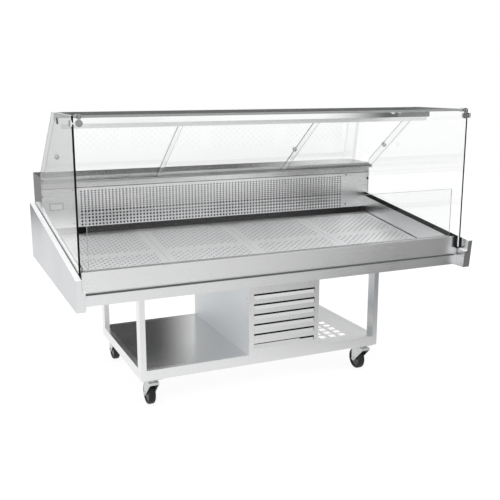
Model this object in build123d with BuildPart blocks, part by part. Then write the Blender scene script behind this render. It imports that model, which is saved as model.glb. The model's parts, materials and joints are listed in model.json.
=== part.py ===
from build123d import *
import os
from math import cos, radians, sin, tan

os.makedirs("parts", exist_ok=True)

# Overall size of the counter, in millimetres, standing on the floor at z = 0
overall_length = 1900.0
overall_depth = 1117.0
sheet = 1.5
seat_gap = 0.2
panel_gap = 1.0
running_clearance = 0.06

# Rim: the sloping top line of the two end cheeks
rim_slope = 7.5
rim_front_height = 720.0
cheek_bottom = 588.0
cheek_lean = 13.0
cheek_thickness = 23.0
cheek_foot_thickness = 37.0
ledge_drop = 52.0

# Side glass and the channel that holds its lower edge
glass_thickness = 8.0
glass_front = 58.0
glass_top = 1340.5
glass_top_depth = 417.0
glass_rear = 880.0
glass_rear_height = 1038.0
channel_front = 53.0
channel_lip = 2.0
channel_floor = 5.0
channel_wall = 4.5
channel_rise = 9.0
clamp_bar_width = 12.0
clamp_bar_rise = 9.5

# Tub: outer pan, foam and inner liner
tub_bottom = 596.0
apron_setback = 60.0
apron_height = 44.0
apron_return = 16.0
pan_rear = 1113.0
liner_front = 105.0
liner_rear = 1110.0
liner_edge_drop = 13.0
liner_floor_drop = 120.0
drain_setback = 150.0
drain_outer = 40.0
drain_bore = 34.0
drain_length = 18.0

# Front fascia with the slot for the low pane
fascia_setback = 70.0
fascia_top = 733.0
fascia_height = 84.0
slot_setback = 85.0
slot_depth = 30.0
pane_thickness = 6.0
pane_top = 963.0
pane_end_gap = 20.0
bend_radius = 1.2

# Deck of loose panels over the liner floor
deck_drop = 101.0
deck_front = 110.0
deck_rear = 874.0
deck_panel_count = 4
deck_panel_skirt = 12.0
bearer_width = 16.0

# Rear plenum with the perforated air panel
plenum_front = 882.0
plenum_top = 1019.0
lip_height = 59.0
air_panel_bottom = 765.0
air_panel_return = 18.0
display_width = 68.0
display_height = 36.0
display_depth = 5.0
display_bezel = 5.0
display_recess = 1.5
display_inset = 74.0
display_centre_z = 872.0

# Evaporator and its two fans
fan_return_gap = 7.0
fan_plate_top = 957.0
air_fan_spacing = 860.0
air_fan_height = 863.0
air_fan_diameter = 172.0
air_fan_depth = 26.0
air_fan_tip_gap = 3.0
air_motor_diameter = 76.0
air_motor_length = 40.0
air_motor_gap = 6.0
air_motor_arm = 8.0
evaporator_gap = 21.0
evaporator_depth = 80.0
evaporator_end_gap = 48.8
evaporator_height = 200.0
evaporator_foot = 14.0
evaporator_fins = 24

# Top shelf, its clamps and the lamp below it
shelf_thickness = 8.5
shelf_depth = 372.0
shelf_end_gap = 1.0
clamp_setback = 45.0
clamp_disc_diameter = 28.0
clamp_disc_depth = 8.0
clamp_disc_inset = 18.0
clamp_disc_drop = 29.0
clamp_arm = 6.0
clamp_jaw = 18.0
clamp_lip = 5.0
clamp_plate = 22.0
lamp_setback = 338.0
lamp_depth = 46.0
lamp_top_drop = 12.0
lamp_face_height = 25.0
lamp_lip_height = 19.0
lamp_lip_lean = 9.0
lamp_bracket = 12.0
diffuser_radius = 14.0

# Sliding rear doors on their sloping plane
door_angle = 36.7
door_setback = 425.0
door_drop = 17.0
door_length = 530.0
door_thickness = 5.0
door_groove = 6.2
door_rail_wall = 2.0
door_rail_depth = 14.0
door_end_gap = 0.5
door_side_gap = 3.0
rail_flange = 15.0
door_middle_width = 728.0
door_overlap = 26.0
knob_diameter = 22.0
knob_inset = 40.0
knob_offset = 36.0
knob_stem = 8.0
knob_neck = 4.0
knob_cap = 10.0
knob_head = 1.2
knob_bevel = 4.0

# Welded base frame and the lower shelf
base_length = 1246.0
base_setback = 296.0
base_depth = 738.0
caster_height = 146.0
rail_height = 48.0
tube_width = 25.0
tube_wall = 2.0
leg_depth = 55.0
vent_columns = 3
vent_rows = 5
vent_width = 34.0
vent_length = 40.0
vent_pitch_x = 57.5
vent_pitch_y = 52.0
vent_centre_x = 410.5
vent_centre_setback = 491.0
shelf_flange = 20.0

# Condensing unit housing between the lower shelf and the tub
housing_left = -98.0
housing_right = 276.0
housing_setback = 287.0
housing_depth = 751.0
louvre_count = 6
louvre_pitch = 48.8
louvre_length = 323.0
louvre_height = 26.0
louvre_slot = 6.0
louvre_angle = 14.0
louvre_top = 494.0
housing_flange = 16.0

# Condensing unit
condenser_setback = 318.0
condenser_depth = 60.0
condenser_length = 330.0
condenser_height = 290.0
condenser_foot = 20.0
condenser_fins = 20
shroud_depth = 46.0
cool_fan_diameter = 244.0
cool_fan_depth = 34.0
cool_fan_tip_gap = 4.0
cool_motor_diameter = 90.0
cool_motor_length = 60.0
cool_motor_arm = 10.0
compressor_setback = 760.0
compressor_diameter = 190.0
compressor_height = 230.0
compressor_foot_size = 230.0
compressor_foot_height = 16.0
compressor_dome = 45.0
compressor_stub_pitch = 60.0
pipe_diameter = 10.0
pipe_stub = 24.0
pipe_bend = 30.0
pipe_spread = 90.0

# Fan parts shared by both fan sizes
fan_hub_share = 0.36
fan_blade_count = 5
fan_blade_thickness = 2.5
fan_blade_pitch = 32.0
fan_blade_root = 4.0
fan_shaft = 8.0

# Swivel casters
caster_inset_x = 60.0
caster_inset_y = 44.0
caster_trail = 43.0
caster_plate_x = 84.0
caster_plate_y = 84.0
caster_plate_thickness = 3.0
race_diameter = 50.0
race_height = 4.0
kingpin_diameter = 14.0
kingpin_head = 22.0
kingpin_head_height = 3.0
crown_gap = 3.0
crown_diameter = 56.0
crown_height = 6.0
crown_back = 40.0
crown_front = 36.0
crown_float = 0.4
crown_thickness = 12.0
fork_thickness = 4.0
fork_side_gap = 2.5
fork_boss_radius = 13.0
fork_cheek_height = 12.0
fork_lug = 9.0
wheel_diameter = 108.0
wheel_width = 34.0
wheel_edge_bevel = 7.0
wheel_hub_radius = 15.0
wheel_rim_depth = 16.0
wheel_web_recess = 7.0
axle_diameter = 8.0
axle_head_diameter = 15.0
axle_head_height = 5.0
pedal_pin_diameter = 5.0
pedal_pin_forward = 6.0
pedal_pin_drop = 16.5
pedal_sleeve_diameter = 9.0
pedal_reach = 106.0
pedal_tip_thickness = 9.0
pedal_belly = 57.0
pedal_belly_drop = 22.0
pedal_overhang = 2.5

# Places that follow from the sizes above
half_length = overall_length / 2
cheek_inner = half_length - cheek_thickness
cheek_foot_inner = half_length - cheek_foot_thickness
glass_outer = cheek_inner - channel_lip
glass_inner = glass_outer - glass_thickness
clamp_bar_inner = glass_inner - clamp_bar_width
channel_inner = clamp_bar_inner - channel_wall
liner_outer = channel_inner - seat_gap
liner_inner = liner_outer - sheet
pan_outer = cheek_foot_inner - seat_gap
pan_inner = pan_outer - sheet
base_top = caster_height + rail_height
shelf_bottom = glass_top - shelf_thickness
pan_step = apron_setback + apron_return
behind_fascia = liner_front + seat_gap
fascia_bottom = fascia_top - fascia_height
slot_width = pane_thickness + 2 * seat_gap
deck_pitch = 2 * (liner_inner - seat_gap) / deck_panel_count
door_height = shelf_bottom - door_drop
display_centre_x = display_inset - glass_outer
fan_plate_setback = plenum_front + air_panel_return + fan_return_gap + air_fan_depth / 2
motor_rear = fan_plate_setback + air_fan_depth / 2 + air_motor_gap + air_motor_length
evaporator_front = motor_rear + evaporator_gap
evaporator_length = 2 * (liner_inner - evaporator_end_gap)


def from_front(setback):
    return setback - overall_depth / 2


def rim(setback):
    return rim_front_height + setback * tan(radians(rim_slope))


def rim_band(first, last, low, high):
    # outline in the side view between two lines parallel to the rim
    Polygon(
        (from_front(first), rim(first) + low),
        (from_front(last), rim(last) + low),
        (from_front(last), rim(last) + high),
        (from_front(first), rim(first) + high),
        align=None,
    )


def side_polygon(*points):
    # outline in the side view, points given as setback and height
    Polygon(*[(from_front(setback), height) for setback, height in points], align=None)


def folded_sheet(half_width, *points):
    # sheet of even thickness bent along its middle line in the side view, outer front bends rounded
    corners = [(from_front(setback), height) for setback, height in points]
    with BuildPart() as folded:
        with BuildSketch(Plane.YZ):
            with BuildLine():
                Polyline(*corners)
            trace(line_width=sheet)
        extrude(amount=half_width, both=True)
        front_bends = folded.edges().filter_by(Axis.X).sort_by(Axis.Y)[:2]
        fillet(front_bends, radius=bend_radius)
    return folded.part


def side_plate(low, high, *points):
    # flat plate between two places along the counter, outline given as setback and height
    with BuildPart() as plate:
        with BuildSketch(Plane.YZ.offset(low)):
            side_polygon(*points)
        extrude(amount=high - low)
    return plate.part


def rim_plate(half_width, first, last, low, high):
    # plate across the counter with its edges parallel to the rim
    with BuildPart() as plate:
        with BuildSketch(Plane.YZ):
            rim_band(first, last, low, high)
        extrude(amount=half_width, both=True)
    return plate.part


def write(part, label):
    part.label = label
    export_step(part, f"parts/{label}.step")


def write_welded(pieces, label):
    write(Compound([solid for piece in pieces for solid in piece.solids()]), label)


# End cheeks: folded boxes, open below, thicker under the ledge that carries the glass channel
def end_cheek(side):
    lean_ratio = cheek_lean / (rim_front_height - cheek_bottom)
    ledge_setback = ledge_drop * lean_ratio / (1 + lean_ratio * tan(radians(rim_slope)))
    with BuildPart() as cheek:
        with BuildSketch(Plane.YZ.offset(side * cheek_inner)):
            side_polygon(
                (0, rim_front_height),
                (cheek_lean, cheek_bottom),
                (overall_depth, cheek_bottom),
                (overall_depth, rim(overall_depth)),
            )
        extrude(amount=side * cheek_thickness)
        with BuildSketch(Plane.YZ.offset(side * cheek_foot_inner)):
            side_polygon(
                (ledge_setback, rim(ledge_setback) - ledge_drop),
                (cheek_lean, cheek_bottom),
                (overall_depth, cheek_bottom),
                (overall_depth, rim(overall_depth) - ledge_drop),
            )
        extrude(amount=side * (cheek_foot_thickness - cheek_thickness))
        offset(amount=-sheet, openings=cheek.faces().sort_by(Axis.Z)[0])
    return cheek.part


for side, hand in ((-1, "left"), (1, "right")):
    write(end_cheek(side), f"end_cheek_{hand}")


# Glass channel: a U-section along the rim, its inner wall standing above the tub edge
def glass_channel(side, start):
    with BuildPart() as channel:
        with BuildSketch(Plane.YZ.offset(side * channel_inner)):
            rim_band(start, glass_rear, -ledge_drop, channel_rise)
        extrude(amount=side * channel_wall)
        with BuildSketch(Plane.YZ.offset(side * clamp_bar_inner)):
            rim_band(start, glass_rear, -ledge_drop, channel_floor - ledge_drop)
        extrude(amount=side * (glass_outer - clamp_bar_inner))
        with BuildSketch(Plane.YZ.offset(side * glass_outer)):
            rim_band(channel_front, glass_rear, -ledge_drop, 0)
        extrude(amount=side * channel_lip)
    return channel.part


with BuildPart() as gaskets:
    add(glass_channel(-1, behind_fascia))
    add(glass_channel(1, channel_front))
write(gaskets.part, "glass_gaskets")


# Clamp bars fill the channel between its inner wall and the glass
with BuildPart() as clamp_bars:
    for side, start in ((-1, behind_fascia), (1, glass_front)):
        with BuildSketch(Plane.YZ.offset(side * clamp_bar_inner)):
            rim_band(start, glass_rear, channel_floor - ledge_drop, clamp_bar_rise)
        extrude(amount=side * clamp_bar_width)
write(clamp_bars.part, "glass_clamp_bars")


# Side glass: upright front edge, level top and a sloping rear edge
def side_glass(side):
    with BuildPart() as glass:
        with BuildSketch(Plane.YZ.offset(side * glass_inner)):
            side_polygon(
                (glass_front, rim(glass_front) + channel_floor - ledge_drop),
                (glass_rear, rim(glass_rear) + channel_floor - ledge_drop),
                (glass_rear, glass_rear_height),
                (glass_front + glass_top_depth, glass_top),
                (glass_front, glass_top),
            )
        extrude(amount=side * glass_thickness)
    return glass.part


for side, hand in ((-1, "left"), (1, "right")):
    write(side_glass(side), f"side_glass_{hand}")


# Tub: outer pan with a stepped front apron, foam inside it and the liner inside the foam
def pan_outline(inset):
    side_polygon(
        (apron_setback + inset, tub_bottom + inset),
        (apron_setback + inset, tub_bottom + apron_height - inset),
        (pan_step + inset, tub_bottom + apron_height - inset),
        (pan_step + inset, rim(pan_step + inset) - ledge_drop),
        (pan_rear - inset, rim(pan_rear - inset) - ledge_drop),
        (pan_rear - inset, tub_bottom + inset),
    )


def pan_end(low):
    with BuildPart() as plate:
        with BuildSketch(Plane.YZ.offset(low)):
            pan_outline(0)
        extrude(amount=sheet)
    return plate.part


# The pan is welded from a bottom, a folded front, a rear wall and two ends
with BuildPart() as pan_bottom:
    add(
        side_plate(
            -pan_inner,
            pan_inner,
            (apron_setback, tub_bottom),
            (pan_rear, tub_bottom),
            (pan_rear, tub_bottom + sheet),
            (apron_setback, tub_bottom + sheet),
        )
    )
    with Locations((0, from_front(drain_setback), tub_bottom)):
        Cylinder(drain_outer / 2 + seat_gap, 4 * sheet, mode=Mode.SUBTRACT)
apron_top = tub_bottom + apron_height
pan_front = side_plate(
    -pan_inner,
    pan_inner,
    (apron_setback, tub_bottom + sheet),
    (apron_setback, apron_top),
    (pan_step, apron_top),
    (pan_step, rim(pan_step) - ledge_drop),
    (pan_step + sheet, rim(pan_step + sheet) - ledge_drop),
    (pan_step + sheet, apron_top - sheet),
    (apron_setback + sheet, apron_top - sheet),
    (apron_setback + sheet, tub_bottom + sheet),
)
pan_back = side_plate(
    -pan_inner,
    pan_inner,
    (pan_rear - sheet, tub_bottom + sheet),
    (pan_rear, tub_bottom + sheet),
    (pan_rear, rim(pan_rear) - ledge_drop),
    (pan_rear - sheet, rim(pan_rear - sheet) - ledge_drop),
)
pan_ends = [pan_end(-pan_outer), pan_end(pan_inner)]
write_welded([pan_bottom.part, pan_front, pan_back, *pan_ends], "tub_outer_pan")


def liner_outline(floor_drop, edge_drop):
    rim_band(liner_front, liner_rear, -floor_drop, -edge_drop)


with BuildPart() as foam:
    with BuildSketch(Plane.YZ):
        pan_outline(sheet)
    extrude(amount=pan_inner, both=True)
    with BuildSketch(Plane.YZ):
        liner_outline(liner_floor_drop + sheet, 0)
    extrude(amount=liner_outer, both=True, mode=Mode.SUBTRACT)
    with Locations((0, from_front(drain_setback), tub_bottom)):
        Cylinder(drain_outer / 2 + seat_gap, 4 * liner_floor_drop, mode=Mode.SUBTRACT)
write(foam.part, "tub_insulation")


# The liner is welded from a sloping floor, four walls and the drain spigot under the floor
def liner_end(low):
    with BuildPart() as plate:
        with BuildSketch(Plane.YZ.offset(low)):
            liner_outline(liner_floor_drop + sheet, liner_edge_drop)
        extrude(amount=sheet)
    return plate.part


with BuildPart() as liner_floor:
    add(rim_plate(liner_inner, liner_front, liner_rear, -liner_floor_drop - sheet, -liner_floor_drop))
    with Locations((0, from_front(drain_setback), rim(drain_setback) - liner_floor_drop)):
        Cylinder(drain_bore / 2, drain_outer, mode=Mode.SUBTRACT)
with BuildPart() as spigot:
    with BuildSketch(Plane((0, from_front(drain_setback), tub_bottom - drain_length))):
        Circle(drain_outer / 2)
        Circle(drain_bore / 2, mode=Mode.SUBTRACT)
    extrude(amount=drain_length + rim(drain_setback) - tub_bottom)
    with BuildSketch(Plane.YZ):
        liner_outline(liner_floor_drop + sheet, -liner_floor_drop)
    extrude(amount=drain_outer, both=True, mode=Mode.SUBTRACT)
liner_walls = [
    rim_plate(liner_inner, setback, setback + sheet, -liner_floor_drop, -liner_edge_drop)
    for setback in (liner_front, liner_rear - sheet)
]
liner_ends = [liner_end(-liner_outer), liner_end(liner_inner)]
write_welded([liner_floor.part, spigot.part, *liner_walls, *liner_ends], "tub_liner")


# Front fascia: one folded sheet from the left cheek to the right channel, slotted along its top for the pane
fascia_right = channel_inner - seat_gap
fascia_half = (pan_outer + fascia_right) / 2
slot_floor = fascia_top - slot_depth
slot_back = slot_setback + slot_width
fold = sheet / 2
fascia = folded_sheet(
    fascia_half,
    (pan_step - seat_gap, fascia_bottom + fold),
    (fascia_setback + fold, fascia_bottom + fold),
    (fascia_setback + fold, fascia_top - fold),
    (slot_setback - fold, fascia_top - fold),
    (slot_setback - fold, slot_floor - fold),
    (slot_back + fold, slot_floor - fold),
    (slot_back + fold, fascia_top - fold),
    (liner_front - seat_gap - fold, fascia_top - fold),
    (liner_front - seat_gap - fold, slot_floor - fold),
)
write(Pos(fascia_right - fascia_half, 0, 0) * fascia, "front_fascia")

with BuildPart() as pane:
    with BuildSketch(Plane.YZ):
        side_polygon(
            (slot_setback + seat_gap, slot_floor),
            (slot_setback + seat_gap + pane_thickness, slot_floor),
            (slot_setback + seat_gap + pane_thickness, pane_top),
            (slot_setback + seat_gap, pane_top),
        )
    extrude(amount=fascia_right - pane_end_gap, both=True)
write(pane.part, "front_pane")


# Deck panels: shallow upturned trays lying on bearers over the liner floor
def deck_panel(index):
    centre = (index - (deck_panel_count - 1) / 2) * deck_pitch
    half_width = deck_pitch / 2 - panel_gap / 2
    with BuildPart() as panel:
        with BuildSketch(Plane.YZ.offset(centre)):
            rim_band(deck_front, deck_rear, -deck_drop - deck_panel_skirt, -deck_drop)
        extrude(amount=half_width, both=True)
        offset(amount=-sheet, openings=panel.faces().sort_by(Axis.Z)[0])
    return panel.part


for index in range(deck_panel_count):
    write(deck_panel(index), f"deck_panel_{index + 1}")

bearer_pitch = (2 * (liner_inner - seat_gap) - bearer_width) / deck_panel_count
with BuildPart() as bearers:
    for index in range(deck_panel_count + 1):
        with BuildSketch(Plane.YZ.offset((index - deck_panel_count / 2) * bearer_pitch)):
            rim_band(deck_front, deck_rear, -liner_floor_drop, -deck_drop - deck_panel_skirt - seat_gap)
        extrude(amount=bearer_width / 2, both=True)
write(bearers.part, "deck_bearers")


# Rear plenum: a welded hood over the evaporator, open below, with a lip above the air panel
hood_half = glass_outer
hood_inner = hood_half - sheet
hood_rear = pan_rear
hood_under = plenum_top - sheet
lip_bottom = plenum_top - lip_height


def hood_foot(setback):
    return rim(setback) - ledge_drop + seat_gap


hood_top = side_plate(
    -hood_half,
    hood_half,
    (plenum_front, hood_under),
    (hood_rear, hood_under),
    (hood_rear, plenum_top),
    (plenum_front, plenum_top),
)
hood_lip = side_plate(
    -hood_inner,
    hood_inner,
    (plenum_front, lip_bottom),
    (plenum_front + sheet, lip_bottom),
    (plenum_front + sheet, hood_under),
    (plenum_front, hood_under),
)
hood_back = side_plate(
    -hood_inner,
    hood_inner,
    (hood_rear - sheet, hood_foot(hood_rear - sheet)),
    (hood_rear, hood_foot(hood_rear)),
    (hood_rear, hood_under),
    (hood_rear - sheet, hood_under),
)
hood_ends = [
    side_plate(
        low,
        low + sheet,
        (plenum_front, hood_foot(plenum_front)),
        (hood_rear, hood_foot(hood_rear)),
        (hood_rear, hood_under),
        (plenum_front, hood_under),
    )
    for low in (-hood_half, hood_inner)
]
write_welded([hood_top, hood_lip, hood_back, *hood_ends], "plenum_housing")

# Air panel: wide above the tub edge, narrower between the liner walls, with a return along its foot
panel_shoulder = rim(plenum_front) - liner_edge_drop + panel_gap
with BuildPart() as air_panel:
    with BuildSketch(Plane.XZ.offset(-from_front(plenum_front))):
        Polygon(
            (-liner_inner + seat_gap, air_panel_bottom),
            (liner_inner - seat_gap, air_panel_bottom),
            (liner_inner - seat_gap, panel_shoulder),
            (hood_inner - seat_gap, panel_shoulder),
            (hood_inner - seat_gap, lip_bottom - seat_gap),
            (-hood_inner + seat_gap, lip_bottom - seat_gap),
            (-hood_inner + seat_gap, panel_shoulder),
            (-liner_inner + seat_gap, panel_shoulder),
            align=None,
        )
    extrude(amount=-sheet)
    with BuildSketch(Plane.YZ):
        side_polygon(
            (plenum_front, air_panel_bottom),
            (plenum_front + air_panel_return, air_panel_bottom),
            (plenum_front + air_panel_return, air_panel_bottom + sheet),
            (plenum_front, air_panel_bottom + sheet),
        )
    extrude(amount=liner_inner - seat_gap, both=True)
write(air_panel.part, "air_panel")

# Temperature display: a bezel round a recessed window
display_plane = Plane(
    (display_centre_x, from_front(plenum_front), display_centre_z), x_dir=(1, 0, 0), z_dir=(0, -1, 0)
)
with BuildPart() as display:
    with BuildSketch(display_plane):
        RectangleRounded(display_width, display_height, display_bezel / 2)
    extrude(amount=display_depth)
    with BuildSketch(display_plane.offset(display_depth)):
        RectangleRounded(
            display_width - 2 * display_bezel,
            display_height - 2 * display_bezel,
            display_recess,
        )
    extrude(amount=-display_recess, mode=Mode.SUBTRACT)
write(display.part, "temperature_display")


# Fan rotor: hub and pitched blades on a fixed shaft, axis along the plane's normal
def fan_rotor(plane, diameter, depth):
    hub = diameter * fan_hub_share / 2
    blade_length = diameter / 2 - hub + fan_blade_root
    chord = (depth - fan_blade_thickness) / sin(radians(fan_blade_pitch))
    with BuildPart(plane) as rotor:
        Cylinder(hub, depth)
        with PolarLocations(hub - fan_blade_root + blade_length / 2, fan_blade_count):
            Box(blade_length, chord, fan_blade_thickness, rotation=(fan_blade_pitch, 0, 0))
        with BuildSketch(plane.offset(-depth)):
            Circle(diameter / 2)
        extrude(amount=2 * depth, mode=Mode.INTERSECT)
        Cylinder(fan_shaft / 2 + running_clearance, 2 * depth, mode=Mode.SUBTRACT)
    return rotor.part


# Motor with a shaft through the rotor and arms out to the plate in front of it
def fan_motor(plane, diameter, length, gap, rotor_depth, hole_radius, arm, plate_face):
    back = -rotor_depth / 2 - gap
    arm_reach = hole_radius + 2 * arm
    arm_back = back - length / 2
    with BuildPart() as motor:
        with BuildSketch(plane.offset(back)):
            Circle(diameter / 2)
        extrude(amount=-length)
        with BuildSketch(plane.offset(back)):
            Circle(fan_shaft / 2)
        extrude(amount=rotor_depth + gap)
        with BuildSketch(plane.offset(arm_back)):
            with PolarLocations(arm_reach / 2, 4):
                Rectangle(arm_reach, arm)
        extrude(amount=-sheet * 2)
        with BuildSketch(plane.offset(arm_back)):
            with PolarLocations(arm_reach - arm / 2, 4):
                Rectangle(arm, arm)
        extrude(amount=plate_face - arm_back)
    return motor.part


def fan_plane(x, setback, height):
    return Plane((x, from_front(setback), height), x_dir=(1, 0, 0), z_dir=(0, -1, 0))


# Evaporator fan plate across the plenum with one opening for each fan
air_fan_hole = air_fan_diameter / 2 + air_fan_tip_gap
air_fan_places = [-air_fan_spacing / 2, air_fan_spacing / 2]
fan_plate_bottom = rim(fan_plate_setback + sheet) - liner_floor_drop
with BuildPart() as fan_plate:
    with BuildSketch(Plane.YZ):
        side_polygon(
            (fan_plate_setback, fan_plate_bottom),
            (fan_plate_setback + sheet, fan_plate_bottom),
            (fan_plate_setback + sheet, fan_plate_top),
            (fan_plate_setback, fan_plate_top),
        )
    extrude(amount=liner_inner - seat_gap, both=True)
    for place in air_fan_places:
        with BuildSketch(fan_plane(place, fan_plate_setback, air_fan_height)):
            Circle(air_fan_hole)
        extrude(amount=2 * sheet, both=True, mode=Mode.SUBTRACT)
write(fan_plate.part, "evaporator_fan_plate")

with BuildPart() as air_motors:
    for place in air_fan_places:
        add(
            fan_motor(
                fan_plane(place, fan_plate_setback, air_fan_height),
                air_motor_diameter,
                air_motor_length,
                air_motor_gap,
                air_fan_depth,
                air_fan_hole,
                air_motor_arm,
                -sheet,
            )
        )
write(air_motors.part, "evaporator_fan_motors")

for place, hand in zip(air_fan_places, ("left", "right")):
    rotor = fan_rotor(fan_plane(place, fan_plate_setback, air_fan_height), air_fan_diameter, air_fan_depth)
    write(rotor, f"evaporator_fan_{hand}")


# Finned coil: end plates with feet and a block cut by slots between its fins
def finned_coil(centre_x, setback, depth, length, floor, foot, height, fins):
    pitch = length / fins
    with BuildPart() as coil:
        with BuildSketch(Plane.XY.offset(floor + foot)):
            with Locations((centre_x, from_front(setback + depth / 2))):
                Rectangle(length, depth)
        extrude(amount=height)
        for face, reach in ((setback, depth / 3), (setback + depth, -depth / 3)):
            with BuildSketch(Plane.XY.offset(floor)):
                with Locations((centre_x, from_front(face + reach / 2))):
                    with GridLocations(pitch, 0, fins - 1, 1):
                        Rectangle(pitch * 0.7, abs(reach))
            extrude(amount=foot + height, mode=Mode.SUBTRACT)
        with BuildSketch(Plane.XY.offset(floor)):
            with Locations((centre_x, from_front(setback + depth / 2))):
                with GridLocations(length - sheet * 2, 0, 2, 1):
                    Rectangle(sheet * 2, depth)
        extrude(amount=foot + height)
    return coil.part


evaporator_floor = rim(evaporator_front + evaporator_depth) - liner_floor_drop
evaporator = finned_coil(
    0,
    evaporator_front,
    evaporator_depth,
    evaporator_length,
    evaporator_floor,
    evaporator_foot,
    evaporator_height,
    evaporator_fins,
)
write(evaporator, "evaporator_coil")


# Top shelf between the side panes
with BuildPart() as shelf:
    with BuildSketch(Plane.XY.offset(shelf_bottom)):
        with Locations((0, from_front(glass_front + shelf_depth / 2))):
            Rectangle(2 * (glass_inner - shelf_end_gap), shelf_depth)
    extrude(amount=shelf_thickness)
write(shelf.part, "top_shelf")


# Shelf clamps: a disc with a rod to a plate outside the pane and an arm up to a jaw on the shelf edge
def shelf_clamp(side):
    disc_x = side * (glass_inner - clamp_disc_inset)
    disc_z = glass_top - clamp_disc_drop
    disc_face = Plane((disc_x, from_front(clamp_setback), disc_z), x_dir=(1, 0, 0), z_dir=(0, 1, 0))
    rod_length = glass_outer + clamp_arm - abs(disc_x)
    plate_depth = glass_front + clamp_plate - clamp_setback
    jaw_length = glass_front + clamp_jaw - clamp_setback
    with BuildPart() as clamp:
        with BuildSketch(disc_face):
            Circle(clamp_disc_diameter / 2)
        extrude(amount=clamp_disc_depth)
        with BuildSketch(disc_face):
            with Locations((side * rod_length / 2, 0)):
                Rectangle(rod_length, clamp_arm)
        extrude(amount=clamp_arm)
        with BuildSketch(disc_face):
            with Locations((side * (rod_length - clamp_arm / 2 + seat_gap), 0)):
                Rectangle(clamp_arm - 2 * seat_gap, clamp_plate)
        extrude(amount=plate_depth)
        with BuildSketch(disc_face):
            with Locations((0, -clamp_disc_drop / 2 - clamp_lip / 2)):
                Rectangle(clamp_arm, clamp_disc_drop + clamp_lip)
        extrude(amount=clamp_arm)
        for low in (clamp_disc_drop, clamp_disc_drop - shelf_thickness - clamp_lip):
            with BuildSketch(disc_face):
                with Locations((0, -low - clamp_lip / 2)):
                    Rectangle(clamp_jaw, clamp_lip)
            extrude(amount=jaw_length)
    return clamp.part


with BuildPart() as clamps:
    for side in (-1, 1):
        add(shelf_clamp(side))
write(clamps.part, "shelf_clamps")


# Lamp: a folded reflector under the shelf with a half-round diffuser
lamp_half = glass_inner - lamp_bracket
lamp_top = shelf_bottom - lamp_top_drop
lamp_fold = lamp_top - lamp_face_height
lamp_bottom = lamp_fold - lamp_lip_height
reflector = folded_sheet(
    lamp_half,
    (lamp_setback + lamp_lip_lean + fold, lamp_bottom),
    (lamp_setback + fold, lamp_fold),
    (lamp_setback + fold, lamp_top - fold),
    (lamp_setback + lamp_depth - fold, lamp_top - fold),
    (lamp_setback + lamp_depth - fold, lamp_fold),
)
with BuildPart() as lamp:
    add(reflector)
    for side in (-1, 1):
        with BuildSketch(Plane.YZ.offset(side * (lamp_half - lamp_bracket))):
            side_polygon(
                (lamp_setback, lamp_fold),
                (lamp_setback + lamp_depth, lamp_fold),
                (lamp_setback + lamp_depth, lamp_top),
                (lamp_setback, lamp_top),
            )
        extrude(amount=side * 2 * lamp_bracket)
write(lamp.part, "lamp_housing")

diffuser_half = lamp_half - lamp_bracket - seat_gap
with BuildPart() as diffuser:
    with BuildSketch(Plane.YZ):
        with BuildLine():
            centre = (from_front(lamp_setback + lamp_depth / 2), lamp_top - sheet)
            CenterArc(centre, diffuser_radius, 180, 180)
            Line((centre[0] - diffuser_radius, centre[1]), (centre[0] + diffuser_radius, centre[1]))
        make_face()
    extrude(amount=diffuser_half, both=True)
write(diffuser.part, "lamp_diffuser")


# Rear doors slide along two grooves; x of the rail plane runs down the slope, y is the doors' normal
slope_down = (0, cos(radians(door_angle)), -sin(radians(door_angle)))
slope_normal = (0, sin(radians(door_angle)), cos(radians(door_angle)))
door_top = Vector(0, from_front(door_setback), door_height)
door_foot = door_top + Vector(*slope_down) * door_length
groove_pitch = door_groove + door_rail_wall
rail_half = glass_inner
rail_thickness = 2 * groove_pitch + door_rail_wall


# Channel with two grooves at one end of the doors, with a flange to carry it
def door_rail(end, way, *flange):
    section = Plane(end, x_dir=slope_down, z_dir=(1, 0, 0))
    with BuildPart() as rail:
        with BuildSketch(section):
            with Locations((way * (door_end_gap + door_rail_wall - door_rail_depth / 2), 0)):
                Rectangle(door_rail_depth, rail_thickness)
        extrude(amount=rail_half, both=True)
        with BuildSketch(Plane.YZ):
            side_polygon(*flange)
        extrude(amount=rail_half, both=True)
        with BuildSketch(section):
            with Locations((way * (door_end_gap - door_rail_depth / 2), 0)):
                with GridLocations(0, groove_pitch, 1, 2):
                    Rectangle(door_rail_depth, door_groove)
        extrude(amount=rail_half, both=True, mode=Mode.SUBTRACT)
    return rail.part


# The upper rail hangs from a flange under the shelf, the lower one from a flange on the plenum lip
foot_setback = door_foot.Y - from_front(0)
rail_web = door_foot.Z - rail_thickness / 4
rail_upper = door_rail(
    door_top,
    -1,
    (door_setback - door_rail_wall, door_height),
    (door_setback + door_rail_wall, door_height),
    (door_setback + door_rail_wall, shelf_bottom),
    (door_setback - rail_flange, shelf_bottom),
    (door_setback - rail_flange, shelf_bottom - door_rail_wall),
    (door_setback - door_rail_wall, shelf_bottom - door_rail_wall),
)
rail_lower = door_rail(
    door_foot,
    1,
    (foot_setback - door_rail_wall, rail_web - door_rail_wall / 2),
    (plenum_front, rail_web - door_rail_wall / 2),
    (plenum_front, rail_web + rail_flange),
    (plenum_front - door_rail_wall, rail_web + rail_flange),
    (plenum_front - door_rail_wall, rail_web + door_rail_wall / 2),
    (foot_setback - door_rail_wall, rail_web + door_rail_wall / 2),
)
with BuildPart() as door_rails:
    add(rail_upper)
    add(rail_lower)
write(door_rails.part, "door_rails")


def door_plane(track):
    across = Vector(*slope_normal) * (track * groove_pitch)
    door_middle = door_top + Vector(*slope_down) * (door_length / 2) + across
    return Plane(door_middle, x_dir=(1, 0, 0), z_dir=slope_normal)


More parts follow.
